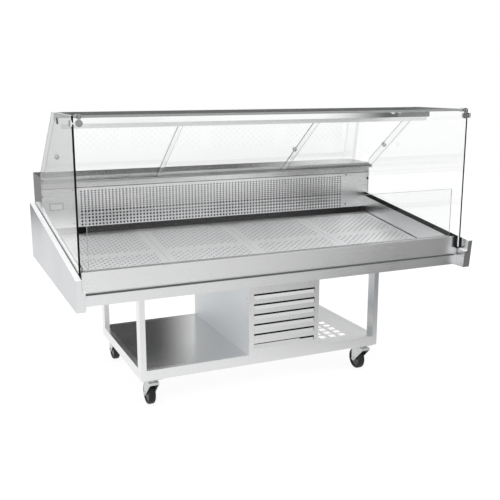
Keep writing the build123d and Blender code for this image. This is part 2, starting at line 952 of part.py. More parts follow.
def sliding_door(plane, left, right, knob_x):
    with BuildPart() as door:
        with BuildSketch(plane):
            with Locations(((left + right) / 2, 0)):
                Rectangle(right - left, door_length)
            with Locations((knob_x, knob_offset)):
                Circle(knob_stem / 2 + seat_gap, mode=Mode.SUBTRACT)
        extrude(amount=door_thickness / 2, both=True)
    return door.part


# Knob: a mushroom on the inner face, a stem through the door and a flat head outside
def door_knob(plane, knob_x):
    with BuildPart() as knob:
        with BuildSketch(plane.offset(-door_thickness / 2)):
            with Locations((knob_x, knob_offset)):
                Circle(knob_stem)
        extrude(amount=-knob_neck)
        with BuildSketch(plane.offset(-door_thickness / 2 - knob_neck)):
            with Locations((knob_x, knob_offset)):
                Circle(knob_diameter / 2)
        extrude(amount=-knob_cap)
        cap_end = knob.faces().sort_by(Axis((0, 0, 0), slope_normal))[0]
        chamfer(cap_end.edges(), length=knob_bevel)
        with BuildSketch(plane.offset(-door_thickness / 2)):
            with Locations((knob_x, knob_offset)):
                Circle(knob_stem / 2)
        extrude(amount=door_thickness)
        with BuildSketch(plane.offset(door_thickness / 2)):
            with Locations((knob_x, knob_offset)):
                Circle(knob_stem)
        extrude(amount=knob_head)
    return knob.part


door_reach = glass_inner - door_side_gap
middle_half = door_middle_width / 2
outer_start = middle_half - door_overlap
doors = (
    ("left", 0.5, -door_reach, -outer_start, knob_inset - door_reach),
    ("middle", -0.5, -middle_half, middle_half, middle_half - knob_inset),
    ("right", 0.5, outer_start, door_reach, door_reach - knob_inset),
)
for hand, track, left, right, knob_x in doors:
    write(sliding_door(door_plane(track), left, right, knob_x), f"door_{hand}")
    write(door_knob(door_plane(track), knob_x), f"door_knob_{hand}")


# Base: a ring of rails on the casters and four legs up to the tub
def square_tube(plane, width, height, length):
    with BuildPart() as tube:
        with BuildSketch(plane):
            Rectangle(width, height)
            Rectangle(width - 2 * tube_wall, height - 2 * tube_wall, mode=Mode.SUBTRACT)
        extrude(amount=length)
    return tube.part


# A rail lies inside its outer edge, whose middle is given, and meets the next rail at a mitre
def mitred_rail(x, y, along, length):
    inner_half = length / 2 - tube_width
    with BuildPart() as rail:
        with BuildSketch(Plane((x, y, caster_height), x_dir=along, z_dir=(0, 0, 1))):
            Polygon(
                (-length / 2, 0),
                (length / 2, 0),
                (inner_half, tube_width),
                (-inner_half, tube_width),
                align=None,
            )
        extrude(amount=rail_height)
        with BuildSketch(Plane((x, y, caster_height + tube_wall), x_dir=along, z_dir=(0, 0, 1))):
            with Locations((0, tube_width / 2)):
                Rectangle(length, tube_width - 2 * tube_wall)
        extrude(amount=rail_height - 2 * tube_wall, mode=Mode.SUBTRACT)
    return rail.part


base_front = from_front(base_setback)
base_rear = base_front + base_depth
base_middle = base_front + base_depth / 2
tube_centre_x = (base_length - tube_width) / 2
tubes = [
    mitred_rail(0, base_front, (1, 0, 0), base_length),
    mitred_rail(0, base_rear, (-1, 0, 0), base_length),
    mitred_rail(-base_length / 2, base_middle, (0, -1, 0), base_depth),
    mitred_rail(base_length / 2, base_middle, (0, 1, 0), base_depth),
]
for leg_x in (-tube_centre_x, tube_centre_x):
    for leg_y in (base_front + leg_depth / 2, base_rear - leg_depth / 2):
        leg_foot = Plane((leg_x, leg_y, base_top))
        tubes.append(square_tube(leg_foot, tube_width, leg_depth, tub_bottom - base_top))
write_welded(tubes, "base_frame")

# Lower shelf: a tray set into the ring of rails, with a field of vents on the right
with BuildPart() as lower_shelf:
    with BuildSketch(Plane.XY.offset(base_top - shelf_flange)):
        with Locations((0, base_front + base_depth / 2)):
            Rectangle(
                base_length - 2 * (tube_width + seat_gap),
                base_depth - 2 * (tube_width + seat_gap),
            )
    extrude(amount=shelf_flange)
    offset(amount=-sheet, openings=lower_shelf.faces().sort_by(Axis.Z)[0])
    with BuildSketch(Plane.XY.offset(base_top)):
        with Locations((vent_centre_x, from_front(vent_centre_setback))):
            with GridLocations(vent_pitch_x, vent_pitch_y, vent_columns, vent_rows):
                Rectangle(vent_width, vent_length)
    extrude(amount=-2 * sheet, mode=Mode.SUBTRACT)
write(lower_shelf.part, "lower_shelf")


# Unit housing: two flanged side panels with the louvred panel between them
housing_front = from_front(housing_setback)
housing_rear = housing_front + housing_depth
housing_height = tub_bottom - base_top
flange_front = housing_front + sheet + seat_gap


def unit_side(x, inward):
    with BuildPart() as panel:
        with BuildSketch(Plane.XY.offset(base_top)):
            with BuildLine():
                Polyline(
                    (x, housing_front),
                    (x, housing_rear),
                    (x + inward * housing_flange, housing_rear),
                    (x + inward * housing_flange, housing_rear - sheet),
                    (x + inward * sheet, housing_rear - sheet),
                    (x + inward * sheet, flange_front + sheet),
                    (x + inward * housing_flange, flange_front + sheet),
                    (x + inward * housing_flange, flange_front),
                    (x + inward * sheet, flange_front),
                    (x + inward * sheet, housing_front),
                    close=True,
                )
            make_face()
        extrude(amount=housing_height)
    return panel.part


with BuildPart() as unit_sides:
    add(unit_side(housing_left, 1))
    add(unit_side(housing_right, -1))
write(unit_sides.part, "unit_side_panels")

# Louvred panel: each louvre is a tab cut on three sides, bent inwards about its foot, with a slot above it
housing_centre = (housing_left + housing_right) / 2
tab_up = louvre_height - louvre_slot
tab_in = tab_up * tan(radians(louvre_angle))
panel_face = Plane((0, housing_front, 0), x_dir=(1, 0, 0), z_dir=(0, -1, 0))
with BuildPart() as louvre_panel:
    with BuildSketch(panel_face):
        with Locations((housing_centre, base_top + housing_height / 2)):
            Rectangle(
                housing_right - housing_left - 2 * (sheet + seat_gap),
                housing_height - 2 * seat_gap,
            )
        for index in range(louvre_count):
            with Locations((housing_centre, louvre_top - index * louvre_pitch - louvre_height / 2)):
                Rectangle(louvre_length, louvre_height, mode=Mode.SUBTRACT)
    extrude(amount=-sheet)
    for index in range(louvre_count):
        tab_foot = louvre_top - index * louvre_pitch - louvre_height
        with BuildSketch(Plane.YZ.offset(housing_centre)):
            side_polygon(
                (housing_setback, tab_foot),
                (housing_setback + sheet, tab_foot),
                (housing_setback + sheet + tab_in, tab_foot + tab_up),
                (housing_setback + tab_in, tab_foot + tab_up),
            )
        extrude(amount=louvre_length / 2 - sheet, both=True)
write(louvre_panel.part, "unit_louvre_panel")


# Condensing unit on the lower shelf: coil, shroud, fan, motor, compressor and pipes
stub_places = (housing_centre - pipe_spread, housing_centre + pipe_spread)
condenser_top = base_top + condenser_foot + condenser_height
stub_top = condenser_top + pipe_stub
with BuildPart() as condenser:
    add(
        finned_coil(
            housing_centre,
            condenser_setback,
            condenser_depth,
            condenser_length,
            base_top,
            condenser_foot,
            condenser_height,
            condenser_fins,
        )
    )
    with BuildSketch(Plane.XY.offset(condenser_top)):
        for stub_x in stub_places:
            with Locations((stub_x, from_front(condenser_setback + condenser_depth / 2))):
                Circle(pipe_diameter / 2)
    extrude(amount=pipe_stub)
write(condenser.part, "condenser_coil")

shroud_setback = condenser_setback + condenser_depth + seat_gap
shroud_rear = shroud_setback + shroud_depth
cool_fan_hole = cool_fan_diameter / 2 + cool_fan_tip_gap
cool_fan_height = base_top + condenser_foot + condenser_height / 2
cool_fan_plane = fan_plane(housing_centre, shroud_rear, cool_fan_height)
with BuildPart() as shroud:
    with BuildSketch(Plane.XY.offset(base_top)):
        with Locations((housing_centre, from_front(shroud_setback + shroud_depth / 2))):
            Rectangle(condenser_length, shroud_depth)
    extrude(amount=condenser_foot + condenser_height)
    offset(amount=-sheet, openings=shroud.faces().sort_by(Axis.Y)[0])
    with BuildSketch(cool_fan_plane):
        Circle(cool_fan_hole)
    extrude(amount=2 * sheet, both=True, mode=Mode.SUBTRACT)
write(shroud.part, "condenser_fan_shroud")
write(fan_rotor(cool_fan_plane, cool_fan_diameter, cool_fan_depth), "condenser_fan")
cool_motor = fan_motor(
    cool_fan_plane,
    cool_motor_diameter,
    cool_motor_length,
    air_motor_gap,
    cool_fan_depth,
    cool_fan_hole,
    cool_motor_arm,
    0,
)
write(cool_motor, "condenser_fan_motor")

compressor_y = from_front(compressor_setback)
can_bottom = base_top + compressor_foot_height
can_top = can_bottom + compressor_height
with BuildPart() as compressor:
    with BuildSketch(Plane.XY.offset(can_bottom)):
        with Locations((housing_centre, compressor_y)):
            Circle(compressor_diameter / 2)
    extrude(amount=compressor_height)
    chamfer(compressor.faces().sort_by(Axis.Z)[-1].edges(), length=compressor_dome)
    with BuildSketch(Plane.XY.offset(can_bottom)):
        with Locations((housing_centre, compressor_y)):
            RectangleRounded(compressor_foot_size, compressor_foot_size, compressor_foot_height)
    extrude(amount=2 * sheet)
    with BuildSketch(Plane.XY.offset(base_top)):
        with Locations((housing_centre, compressor_y)):
            foot_pitch = compressor_foot_size - 2 * compressor_foot_height
            with GridLocations(foot_pitch, foot_pitch, 2, 2):
                Circle(compressor_foot_height * 0.8)
    extrude(amount=compressor_foot_height)
    with BuildSketch(Plane.XY.offset(can_top)):
        with Locations((housing_centre, compressor_y)):
            with GridLocations(compressor_stub_pitch, 0, 2, 1):
                Circle(pipe_diameter / 2)
    extrude(amount=pipe_stub)
write(compressor.part, "compressor")


def pipe_run(*points):
    with BuildPart() as pipe:
        with BuildLine():
            FilletPolyline(*points, radius=pipe_bend)
        with BuildSketch(Plane(points[0])):
            Circle(pipe_diameter / 2)
        sweep()
    return pipe.part


def riser(x, y, start):
    with BuildPart() as pipe:
        with BuildSketch(Plane((x, y, start))):
            Circle(pipe_diameter / 2)
        extrude(amount=tub_bottom - start)
    return pipe.part


coil_y = from_front(condenser_setback + condenser_depth / 2)
compressor_stub_top = can_top + pipe_stub
crossing = tub_bottom - pipe_bend
with BuildPart() as pipes:
    add(
        pipe_run(
            (stub_places[0], coil_y, stub_top),
            (stub_places[0], coil_y, crossing),
            (housing_centre - compressor_stub_pitch / 2, compressor_y, crossing),
            (housing_centre - compressor_stub_pitch / 2, compressor_y, compressor_stub_top),
        )
    )
    add(riser(stub_places[1], coil_y, stub_top))
    add(riser(housing_centre + compressor_stub_pitch / 2, compressor_y, compressor_stub_top))
write(pipes.part, "refrigerant_pipes")


# Casters: heights from the plate down to the axle
plate_bottom = caster_height - caster_plate_thickness
race_bottom = plate_bottom - race_height
crown_top = race_bottom - crown_gap
fork_top = crown_top - crown_height
fork_roof = fork_top - crown_thickness
fork_inner = wheel_width / 2 + fork_side_gap
fork_outer = fork_inner + fork_thickness
axle_height = wheel_diameter / 2
kingpin_head_top = fork_roof - crown_float
caster_x = base_length / 2 - caster_inset_x
caster_front_y = base_front + caster_inset_y
caster_rear_y = base_rear - caster_inset_y
casters = (
    ("front_left", -caster_x, caster_front_y),
    ("front_right", caster_x, caster_front_y),
    ("rear_left", -caster_x, caster_rear_y),
    ("rear_right", caster_x, caster_rear_y),
)


def caster_mount(x, y):
    with BuildPart() as mount:
        with BuildSketch(Plane((x, y, plate_bottom))):
            RectangleRounded(caster_plate_x, caster_plate_y, caster_plate_thickness)
        extrude(amount=caster_plate_thickness)
        with BuildSketch(Plane((x, y, race_bottom))):
            Circle(race_diameter / 2)
        extrude(amount=race_height)
        with BuildSketch(Plane((x, y, kingpin_head_top))):
            Circle(kingpin_diameter / 2)
        extrude(amount=race_bottom - kingpin_head_top)
        with BuildSketch(Plane((x, y, kingpin_head_top))):
            Circle(kingpin_head / 2)
        extrude(amount=-kingpin_head_height)
    return mount.part


with BuildPart() as caster_plates:
    for name, x, y in casters:
        add(caster_mount(x, y))
write(caster_plates.part, "caster_plates")


# Side view of a caster: x runs back from the pivot towards the wheel, y is up
def caster_view(x, y):
    return Plane((x, y, 0), x_dir=(0, 1, 0), z_dir=(1, 0, 0))


pin_forward = caster_trail + pedal_pin_forward
pin_height = fork_top - pedal_pin_drop


def caster_fork(view, x, y):
    with BuildPart() as fork:
        for hand in (-1, 1):
            with BuildSketch(view.offset(hand * fork_inner)):
                with Locations((caster_trail, axle_height)):
                    Circle(fork_boss_radius)
                with Locations((-crown_back, fork_top)):
                    fork_length = pin_forward + fork_lug + crown_back
                    Rectangle(fork_length, fork_cheek_height, align=(Align.MIN, Align.MAX))
                make_hull()
                with Locations((caster_trail, axle_height)):
                    Circle(axle_diameter / 2 + running_clearance, mode=Mode.SUBTRACT)
                with Locations((pin_forward, pin_height)):
                    Circle(pedal_pin_diameter / 2 + running_clearance, mode=Mode.SUBTRACT)
            extrude(amount=hand * fork_thickness)
        with BuildSketch(view):
            with Locations(((crown_front - crown_back) / 2, fork_top - crown_thickness / 2)):
                Rectangle(crown_front + crown_back, crown_thickness)
        extrude(amount=fork_outer, both=True)
        with BuildSketch(Plane((x, y, fork_top))):
            Circle(crown_diameter / 2)
        extrude(amount=crown_height)
        with BuildSketch(Plane((x, y, fork_roof))):
            Circle(kingpin_diameter / 2 + running_clearance)
        extrude(amount=crown_thickness + crown_height, mode=Mode.SUBTRACT)
    return fork.part


# Wheel: bevelled tread, recessed web and a hub bored for the axle, turned about the axle
def caster_wheel(centre):
    rim_inner = wheel_diameter / 2 - wheel_rim_depth
    with BuildPart() as wheel:
        with BuildSketch(Plane(centre, x_dir=(1, 0, 0), z_dir=(0, -1, 0))):
            with Locations((0, wheel_diameter / 2)):
                tread = Rectangle(wheel_width, wheel_rim_depth, align=(Align.CENTER, Align.MAX))
            chamfer(tread.vertices().group_by(Axis.Z)[-1], length=wheel_edge_bevel)
            Rectangle(wheel_width - 2 * wheel_web_recess, rim_inner, align=(Align.CENTER, Align.MIN))
            Rectangle(wheel_width, wheel_hub_radius, align=(Align.CENTER, Align.MIN))
            bore_radius = axle_diameter / 2 + running_clearance
            Rectangle(wheel_width, bore_radius, align=(Align.CENTER, Align.MIN), mode=Mode.SUBTRACT)
        revolve(axis=Axis(centre, (1, 0, 0)))
    return wheel.part


def caster_axle(view):
    with BuildPart() as axle:
        with BuildSketch(view):
            with Locations((caster_trail, axle_height)):
                Circle(axle_diameter / 2)
        extrude(amount=fork_outer, both=True)
        for hand in (-1, 1):
            with BuildSketch(view.offset(hand * fork_outer)):
                with Locations((caster_trail, axle_height)):
                    RegularPolygon(axle_head_diameter / 2, 6)
            extrude(amount=hand * axle_head_height)
    return axle.part


# Brake pedal: a wedge over the wheel on a pin through the fork, wider behind the fork
def brake_pedal(view):
    tip = caster_trail + pedal_reach
    pedal_top = pin_height + pedal_sleeve_diameter / 2
    belly = (pin_forward + pedal_belly, pin_height - pedal_belly_drop)
    outline = (
        (pin_forward, pedal_top),
        (pin_forward, pin_height - pedal_sleeve_diameter / 2),
        belly,
        (tip, pedal_top - pedal_tip_thickness),
        (tip, pedal_top),
    )
    pad_start = pin_forward + fork_lug + panel_gap
    with BuildPart() as pedal:
        with BuildSketch(view):
            Polygon(*outline, align=None)
            with Locations((pin_forward, pin_height)):
                Circle(pedal_sleeve_diameter / 2)
        extrude(amount=fork_inner - panel_gap / 2, both=True)
        with BuildSketch(view):
            Polygon(*outline, align=None)
            with Locations((pad_start, pin_height)):
                Rectangle(
                    2 * pedal_reach,
                    2 * pedal_reach,
                    align=(Align.MAX, Align.CENTER),
                    mode=Mode.SUBTRACT,
                )
        extrude(amount=fork_inner + pedal_overhang, both=True)
        with BuildSketch(view):
            with Locations((pin_forward, pin_height)):
                Circle(pedal_pin_diameter / 2)
        extrude(amount=fork_outer, both=True)
    return pedal.part


for name, x, y in casters:
    view = caster_view(x, y)
    wheel_centre = (x, y + caster_trail, axle_height)
    write(caster_fork(view, x, y), f"caster_fork_{name}")
    write(caster_wheel(wheel_centre), f"caster_wheel_{name}")
    write(caster_axle(view), f"caster_axle_{name}")
    if y < 0:
        write(brake_pedal(view), f"brake_pedal_{name}")
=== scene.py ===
import bpy
import json
import math
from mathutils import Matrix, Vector


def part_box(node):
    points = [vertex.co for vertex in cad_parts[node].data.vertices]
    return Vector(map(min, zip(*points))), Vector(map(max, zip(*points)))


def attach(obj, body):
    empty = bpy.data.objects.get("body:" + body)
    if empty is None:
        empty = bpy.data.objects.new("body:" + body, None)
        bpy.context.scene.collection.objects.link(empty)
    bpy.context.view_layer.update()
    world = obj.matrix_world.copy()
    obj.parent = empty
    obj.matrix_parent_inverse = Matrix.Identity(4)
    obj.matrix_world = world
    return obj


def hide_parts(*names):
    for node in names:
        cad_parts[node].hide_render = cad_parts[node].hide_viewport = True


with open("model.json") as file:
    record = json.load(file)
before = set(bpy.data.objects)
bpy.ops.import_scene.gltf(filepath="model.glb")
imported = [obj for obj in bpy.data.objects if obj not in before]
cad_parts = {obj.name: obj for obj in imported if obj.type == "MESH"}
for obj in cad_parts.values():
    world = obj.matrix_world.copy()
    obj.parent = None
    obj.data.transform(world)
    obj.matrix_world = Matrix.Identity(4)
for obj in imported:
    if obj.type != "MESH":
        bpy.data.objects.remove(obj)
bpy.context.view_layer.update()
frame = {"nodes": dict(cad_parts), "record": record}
print("frame loaded,", len(frame["nodes"]), "nodes")

slotOf = {part["node"]: part["material_slot"] for part in frame["record"]["subparts"]}

# lengths are metres, angles are degrees
closeBy = 0.0004     # two places this near count as one
weld = 0.0001        # vertices this near become one
flat = 0.99          # how much of a face's normal lies along an axis
squarely = 0.95
mostly = 0.8
halfway = 0.5
partly = 0.3


# hand tools

def deselectAll():
    if bpy.context.mode != "OBJECT":
        bpy.ops.object.mode_set(mode="OBJECT")
    bpy.ops.object.select_all(action="DESELECT")


def takeUp(piece):
    deselectAll()
    piece.select_set(True)
    bpy.context.view_layer.objects.active = piece


def settle(piece):
    takeUp(piece)
    bpy.ops.object.transform_apply(location=True, rotation=True, scale=True)


def shift(piece, move):
    takeUp(piece)
    bpy.ops.transform.translate(value=move)
    settle(piece)


def radiansOf(turn):
    return [math.radians(value) for value in turn]


def near(value, target):
    return abs(value - target) < closeBy


def edgesAt(axis, value):
    # a test for edges with both ends at one place on the axis
    return lambda a, b: near(getattr(a, axis), value) and near(getattr(b, axis), value)


def openUp(piece):
    takeUp(piece)
    bpy.ops.object.mode_set(mode="EDIT")
    bpy.ops.mesh.select_all(action="SELECT")


def closeUp():
    bpy.ops.object.mode_set(mode="OBJECT")


def pick(piece, kind, test):
    # leaves the piece in edit mode with what passes the test selected
    takeUp(piece)
    bpy.ops.object.mode_set(mode="EDIT")
    bpy.ops.mesh.select_mode(type=kind)
    bpy.ops.mesh.select_all(action="DESELECT")
    closeUp()
    verts = piece.data.vertices
    if kind == "VERT":
        for vert in verts:
            vert.select = test(vert.co)
    elif kind == "EDGE":
        for edge in piece.data.edges:
            edge.select = test(verts[edge.vertices[0]].co, verts[edge.vertices[1]].co)
    else:
        for face in piece.data.polygons:
            face.select = test(face.center, face.normal)
    bpy.ops.object.mode_set(mode="EDIT")


def growEdge(piece, test, move):
    pick(piece, "EDGE", test)
    bpy.ops.mesh.extrude_region_move(TRANSFORM_OT_translate={"value": move})
    closeUp()


def repeat(piece, count, step):
    takeUp(piece)
    row = piece.modifiers.new("row", "ARRAY")
    row.count = count
    row.use_relative_offset = False
    row.use_constant_offset = True
    row.constant_offset_displace = step
    row.use_merge_vertices = True
    row.merge_threshold = weld
    bpy.ops.object.modifier_apply(modifier="row")


def mergeUp(piece):
    openUp(piece)
    bpy.ops.mesh.remove_doubles(threshold=weld)
    bpy.ops.mesh.normals_make_consistent(inside=False)
    closeUp()


def faceUp(piece):
    # turns a sheet over whose outer side looks down
    if sum(face.normal.z * face.area for face in piece.data.polygons) < 0:
        openUp(piece)
        bpy.ops.mesh.flip_normals()
        closeUp()


def joinUp(pieces):
    deselectAll()
    for piece in pieces:
        piece.select_set(True)
    bpy.context.view_layer.objects.active = pieces[0]
    bpy.ops.object.join()
    return bpy.context.object


def copyOf(piece, name):
    takeUp(piece)
    bpy.ops.object.duplicate(linked=False)
    copy = bpy.context.object
    copy.name = name
    return copy


def thicken(piece, thickness):
    takeUp(piece)
    sheet = piece.modifiers.new("sheet", "SOLIDIFY")
    sheet.thickness = thickness
    sheet.offset = -1
    bpy.ops.object.modifier_apply(modifier="sheet")


def block(name, low, high):
    deselectAll()
    middle = [(a + b) / 2 for a, b in zip(low, high)]
    bpy.ops.mesh.primitive_cube_add(size=1, location=middle)
    piece = bpy.context.object
    piece.name = name
    piece.scale = [b - a for a, b in zip(low, high)]
    settle(piece)
    return piece


def roundEdges(piece, offset, segments, test=lambda a, b: True):
    pick(piece, "EDGE", test)
    bpy.ops.mesh.bevel(offset=offset, segments=segments, affect="EDGES")
    closeUp()


def cutAway(piece, point, normal):
    # drops what lies on the normal's side
    openUp(piece)
    bpy.ops.mesh.bisect(plane_co=point, plane_no=normal, use_fill=True, clear_outer=True)
    closeUp()


def finishPiece(piece, body, slot, *nodes):
    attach(piece, body)
    if nodes:
        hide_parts(*nodes)


# finishes

noiseSpan = (0.3, 0.7)    # where a noise does most of its change
wholeSpan = (0.0, 1.0)


def newFinish(name):
    finish = bpy.data.materials.new(name)
    finish.use_nodes = True
    tree = finish.node_tree
    return finish, tree, tree.nodes["Principled BSDF"]


def addNode(tree, kind, **settings):
    node = tree.nodes.new(kind)
    for key, value in settings.items():
        setattr(node, key, value)
    return node


def noiseOn(tree, stretch, scale, detail):
    place = addNode(tree, "ShaderNodeTexCoord")
    turn = addNode(tree, "ShaderNodeMapping")
    turn.inputs["Scale"].default_value = stretch
    noise = addNode(tree, "ShaderNodeTexNoise")
    noise.inputs["Scale"].default_value = scale
    noise.inputs["Detail"].default_value = detail
    tree.links.new(place.outputs["Object"], turn.inputs["Vector"])
    tree.links.new(turn.outputs["Vector"], noise.inputs["Vector"])
    return noise.outputs["Fac"]


def spread(tree, source, low, high, span=noiseSpan):
    fit = addNode(tree, "ShaderNodeMapRange")
    fit.inputs["From Min"].default_value = span[0]
    fit.inputs["From Max"].default_value = span[1]
    fit.inputs["To Min"].default_value = low
    fit.inputs["To Max"].default_value = high
    tree.links.new(source, fit.inputs["Value"])
    return fit.outputs["Result"]


def tints(tree, source, dark, light):
    ramp = addNode(tree, "ShaderNodeValToRGB")
    for stop, place, colour in zip(ramp.color_ramp.elements, noiseSpan, (dark, light)):
        stop.position = place
        stop.color = (*colour, 1)
    tree.links.new(source, ramp.inputs["Fac"])
    return ramp.outputs["Color"]


def mathOf(tree, operation, first, second):
    node = addNode(tree, "ShaderNodeMath", operation=operation)
    tree.links.new(first, node.inputs[0])
    tree.links.new(second, node.inputs[1])
    return node.outputs["Value"]


def emboss(tree, shader, source, strength, distance):
    bump = addNode(tree, "ShaderNodeBump")
    bump.inputs["Strength"].default_value = strength
    bump.inputs["Distance"].default_value = distance
    tree.links.new(source, bump.inputs["Height"])
    tree.links.new(bump.outputs["Normal"], shader.inputs["Normal"])


evenGrain = (1, 1, 1)
grained = {
    "ior": 1.5, "detail": 3.0, "broadDetail": 2.0, "tintDrift": (-0.12, 0.12), "roughDrift": (-0.04, 0.05),
}


def grainedFinish(name, look):
    finish, tree, shader = newFinish(name)
    shader.inputs["Metallic"].default_value = look["metal"]
    shader.inputs["IOR"].default_value = grained["ior"]
    grain = noiseOn(tree, look["stretch"], look["scale"], look.get("detail", grained["detail"]))
    broad = noiseOn(tree, evenGrain, look["broad"], grained["broadDetail"])
    both = mathOf(tree, "ADD", grain, spread(tree, broad, *grained["tintDrift"]))
    tree.links.new(tints(tree, both, look["dark"], look["light"]), shader.inputs["Base Color"])
    fine = spread(tree, grain, *look["rough"])
    drift = spread(tree, broad, *grained["roughDrift"])
    tree.links.new(mathOf(tree, "ADD", fine, drift), shader.inputs["Roughness"])
    emboss(tree, shader, grain, look["bump"], look["height"])
    if "shine" in look:
        shader.inputs["Specular IOR Level"].default_value = look["shine"]
    if "glow" in look:
        shader.inputs["Emission Color"].default_value = (1, 1, 1, 1)
        shader.inputs["Emission Strength"].default_value = look["glow"]
    return finish


brushed = {"scale": 1.0, "detail": 4.0, "broad": 2.5, "bump": 0.006, "height": 0.0003}
brushDark = 0.988
brushLight = 1.012


def steel(name, tone, stretch, rough=(0.26, 0.34), cast=(1.0, 1.004, 1.008), metal=1.0):
    return grainedFinish(name, {
        **brushed, "metal": metal, "stretch": stretch, "rough": rough,
        "dark": [tone * brushDark * value for value in cast],
        "light": [tone * brushLight * value for value in cast]})


def solid(name, metal=0.0, **look):
    return grainedFinish(name, {"metal": metal, "stretch": evenGrain, **look})


alongX = (6, 900, 900)       # brushing runs along the counter
alongY = (900, 6, 900)
alongZ = (900, 900, 6)
allRound = (40, 40, 40)      # a fine even grain

finishes = {
    "stainless": steel("brushedSteelLong", 0.79, alongX),
    "cheekSteel": steel("brushedSteelDeep", 0.73, alongY, cast=(0.985, 1.0, 1.015)),
    # painted shade on the cheeks' outer faces
    "paintedShadeFlankSteel": steel("brushedFlankPaintedShade", 0.59, alongY, rough=(0.30, 0.38), cast=(0.975, 1.0, 1.02)),
    "uprightSteel": steel("brushedSteelTall", 0.80, alongZ),
    # painted light from above, near white, on the cheeks' top faces and the glass clamp bars
    "paintedLightSteel": steel("paintedLightFlange", 0.98, alongY, rough=(0.30, 0.38), metal=0.1),
    "lampSteel": steel("brightLampShell", 0.98, alongX, rough=(0.06, 0.10)),
    "lampLip": steel("satinLampLip", 0.74, alongX, rough=(0.20, 0.28)),
    "airSteel": steel("brushedAirPanel", 0.88, alongX, rough=(0.23, 0.29)),
    "lipSteel": steel("brushedLip", 0.78, alongX, rough=(0.16, 0.22)),
    "railSteel": steel("shadedRail", 0.42, alongX, rough=(0.24, 0.32)),
    # painted shade on the fascia's top faces
    "paintedShadeRimSteel": steel("brushedRimPaintedShade", 0.46, alongX, rough=(0.24, 0.32)),
    "deckSteel": steel("beadBlastedDeck", 0.975, alongX, rough=(0.34, 0.42)),
    "linerSteel": steel("shadedLiner", 0.48, alongX, rough=(0.40, 0.50)),
    # painted shade darkens the plenum hood; its front faces take lipSteel
    "paintedShadeHoodSteel": steel("brushedHoodPaintedShade", 0.56, alongX, rough=(0.16, 0.22)),
    "shelfSteel": steel("brushedLowerShelf", 0.78, alongX, rough=(0.19, 0.25)),
    "housingSteel": steel(
        "brushedHousing", 0.95, alongY, rough=(0.46, 0.56), cast=(0.97, 1.0, 1.02), metal=0.3),
    "clampSteel": steel("darkClamp", 0.34, allRound, rough=(0.16, 0.24)),
    "aluminium": steel("satinAluminium", 0.76, alongX, rough=(0.30, 0.40)),
    "polished": steel("polishedSteel", 0.82, allRound, rough=(0.08, 0.14)),
    "zinc": solid(
        "zincPlate", metal=1.0, scale=160, broad=18, dark=(0.52, 0.53, 0.53), light=(0.64, 0.645, 0.65),
        rough=(0.28, 0.42), bump=0.08, height=0.0004),
    "copper": solid(
        "drawnCopper", metal=1.0, scale=120, broad=12, dark=(0.62, 0.30, 0.18), light=(0.86, 0.47, 0.30),
        rough=(0.22, 0.40), bump=0.05, height=0.0004),
    "tyre": solid(
        "tyreRubber", scale=700, broad=25, dark=(0.008, 0.008, 0.009), light=(0.017, 0.017, 0.018),
        rough=(0.45, 0.62), bump=0.20, height=0.0005, shine=0.3),
    "black_rubber": solid(
        "channelRubber", scale=900, broad=14, dark=(0.007, 0.007, 0.008), light=(0.012, 0.012, 0.013),
        rough=(0.62, 0.74), bump=0.10, height=0.0004, shine=0.12),
    "black_plastic": solid(
        "mouldedBlack", scale=1100, broad=30, dark=(0.009, 0.009, 0.010), light=(0.020, 0.020, 0.021),
        rough=(0.30, 0.42), bump=0.12, height=0.0003),
    "grey_plastic": solid(
        "mouldedGrey", scale=1000, broad=30, dark=(0.24, 0.25, 0.25), light=(0.30, 0.31, 0.31),
        rough=(0.36, 0.48), bump=0.10, height=0.0003),
    "black_paint": solid(
        "blackEnamel", scale=260, broad=8, dark=(0.008, 0.008, 0.009), light=(0.012, 0.012, 0.013),
        rough=(0.44, 0.54), bump=0.03, height=0.0003, shine=0.15),
    "foam": solid(
        "pouredFoam", scale=380, broad=9, dark=(0.62, 0.50, 0.26), light=(0.80, 0.69, 0.42),
        rough=(0.75, 0.9), bump=0.5, height=0.001),
    "opal": solid(
        "opalTube", scale=90, broad=5, dark=(0.86, 0.87, 0.87), light=(0.93, 0.93, 0.92),
        rough=(0.40, 0.52), bump=0.03, height=0.0003, glow=0.34),
}

wiped = {"scale": 4.0, "detail": 3.0, "span": (0.45, 0.75), "tintKept": 0.8}


def clearFinish(name, tint, smear=0.018, ior=1.45):
    finish, tree, shader = newFinish(name)
    shader.inputs["Transmission Weight"].default_value = 1.0
    shader.inputs["IOR"].default_value = ior
    wipe = noiseOn(tree, evenGrain, wiped["scale"], wiped["detail"])
    tree.links.new(spread(tree, wipe, 0.0, smear, wiped["span"]), shader.inputs["Roughness"])
    lighter = [1 - (1 - value) * wiped["tintKept"] for value in tint]
    tree.links.new(tints(tree, wipe, tint, lighter), shader.inputs["Base Color"])
    return finish


finishes["clear_glass"] = clearFinish("clearPane", (0.975, 0.982, 0.980))
finishes["frontGlass"] = clearFinish("lowPane", (0.982, 0.986, 0.985), smear=0.010, ior=1.32)
finishes["leftGlass"] = clearFinish("shadedPane", (0.90, 0.91, 0.91))
finishes["shelfGlass"] = clearFinish("shelfPane", (0.40, 0.42, 0.42))
finishes["clear_plastic"] = clearFinish("doorAcrylic", (0.984, 0.988, 0.988))

groundDark = (0.90, 0.95, 0.94)      # a ground edge is a little green
groundLight = (1.05, 1.10, 1.08)


def edgeFinish(name, tone, rough=(0.14, 0.24), shine=0.5):
    return solid(
        name, scale=60, broad=6, rough=rough, bump=0.02, height=0.0002, shine=shine,
        dark=[tone * value for value in groundDark], light=[tone * value for value in groundLight])
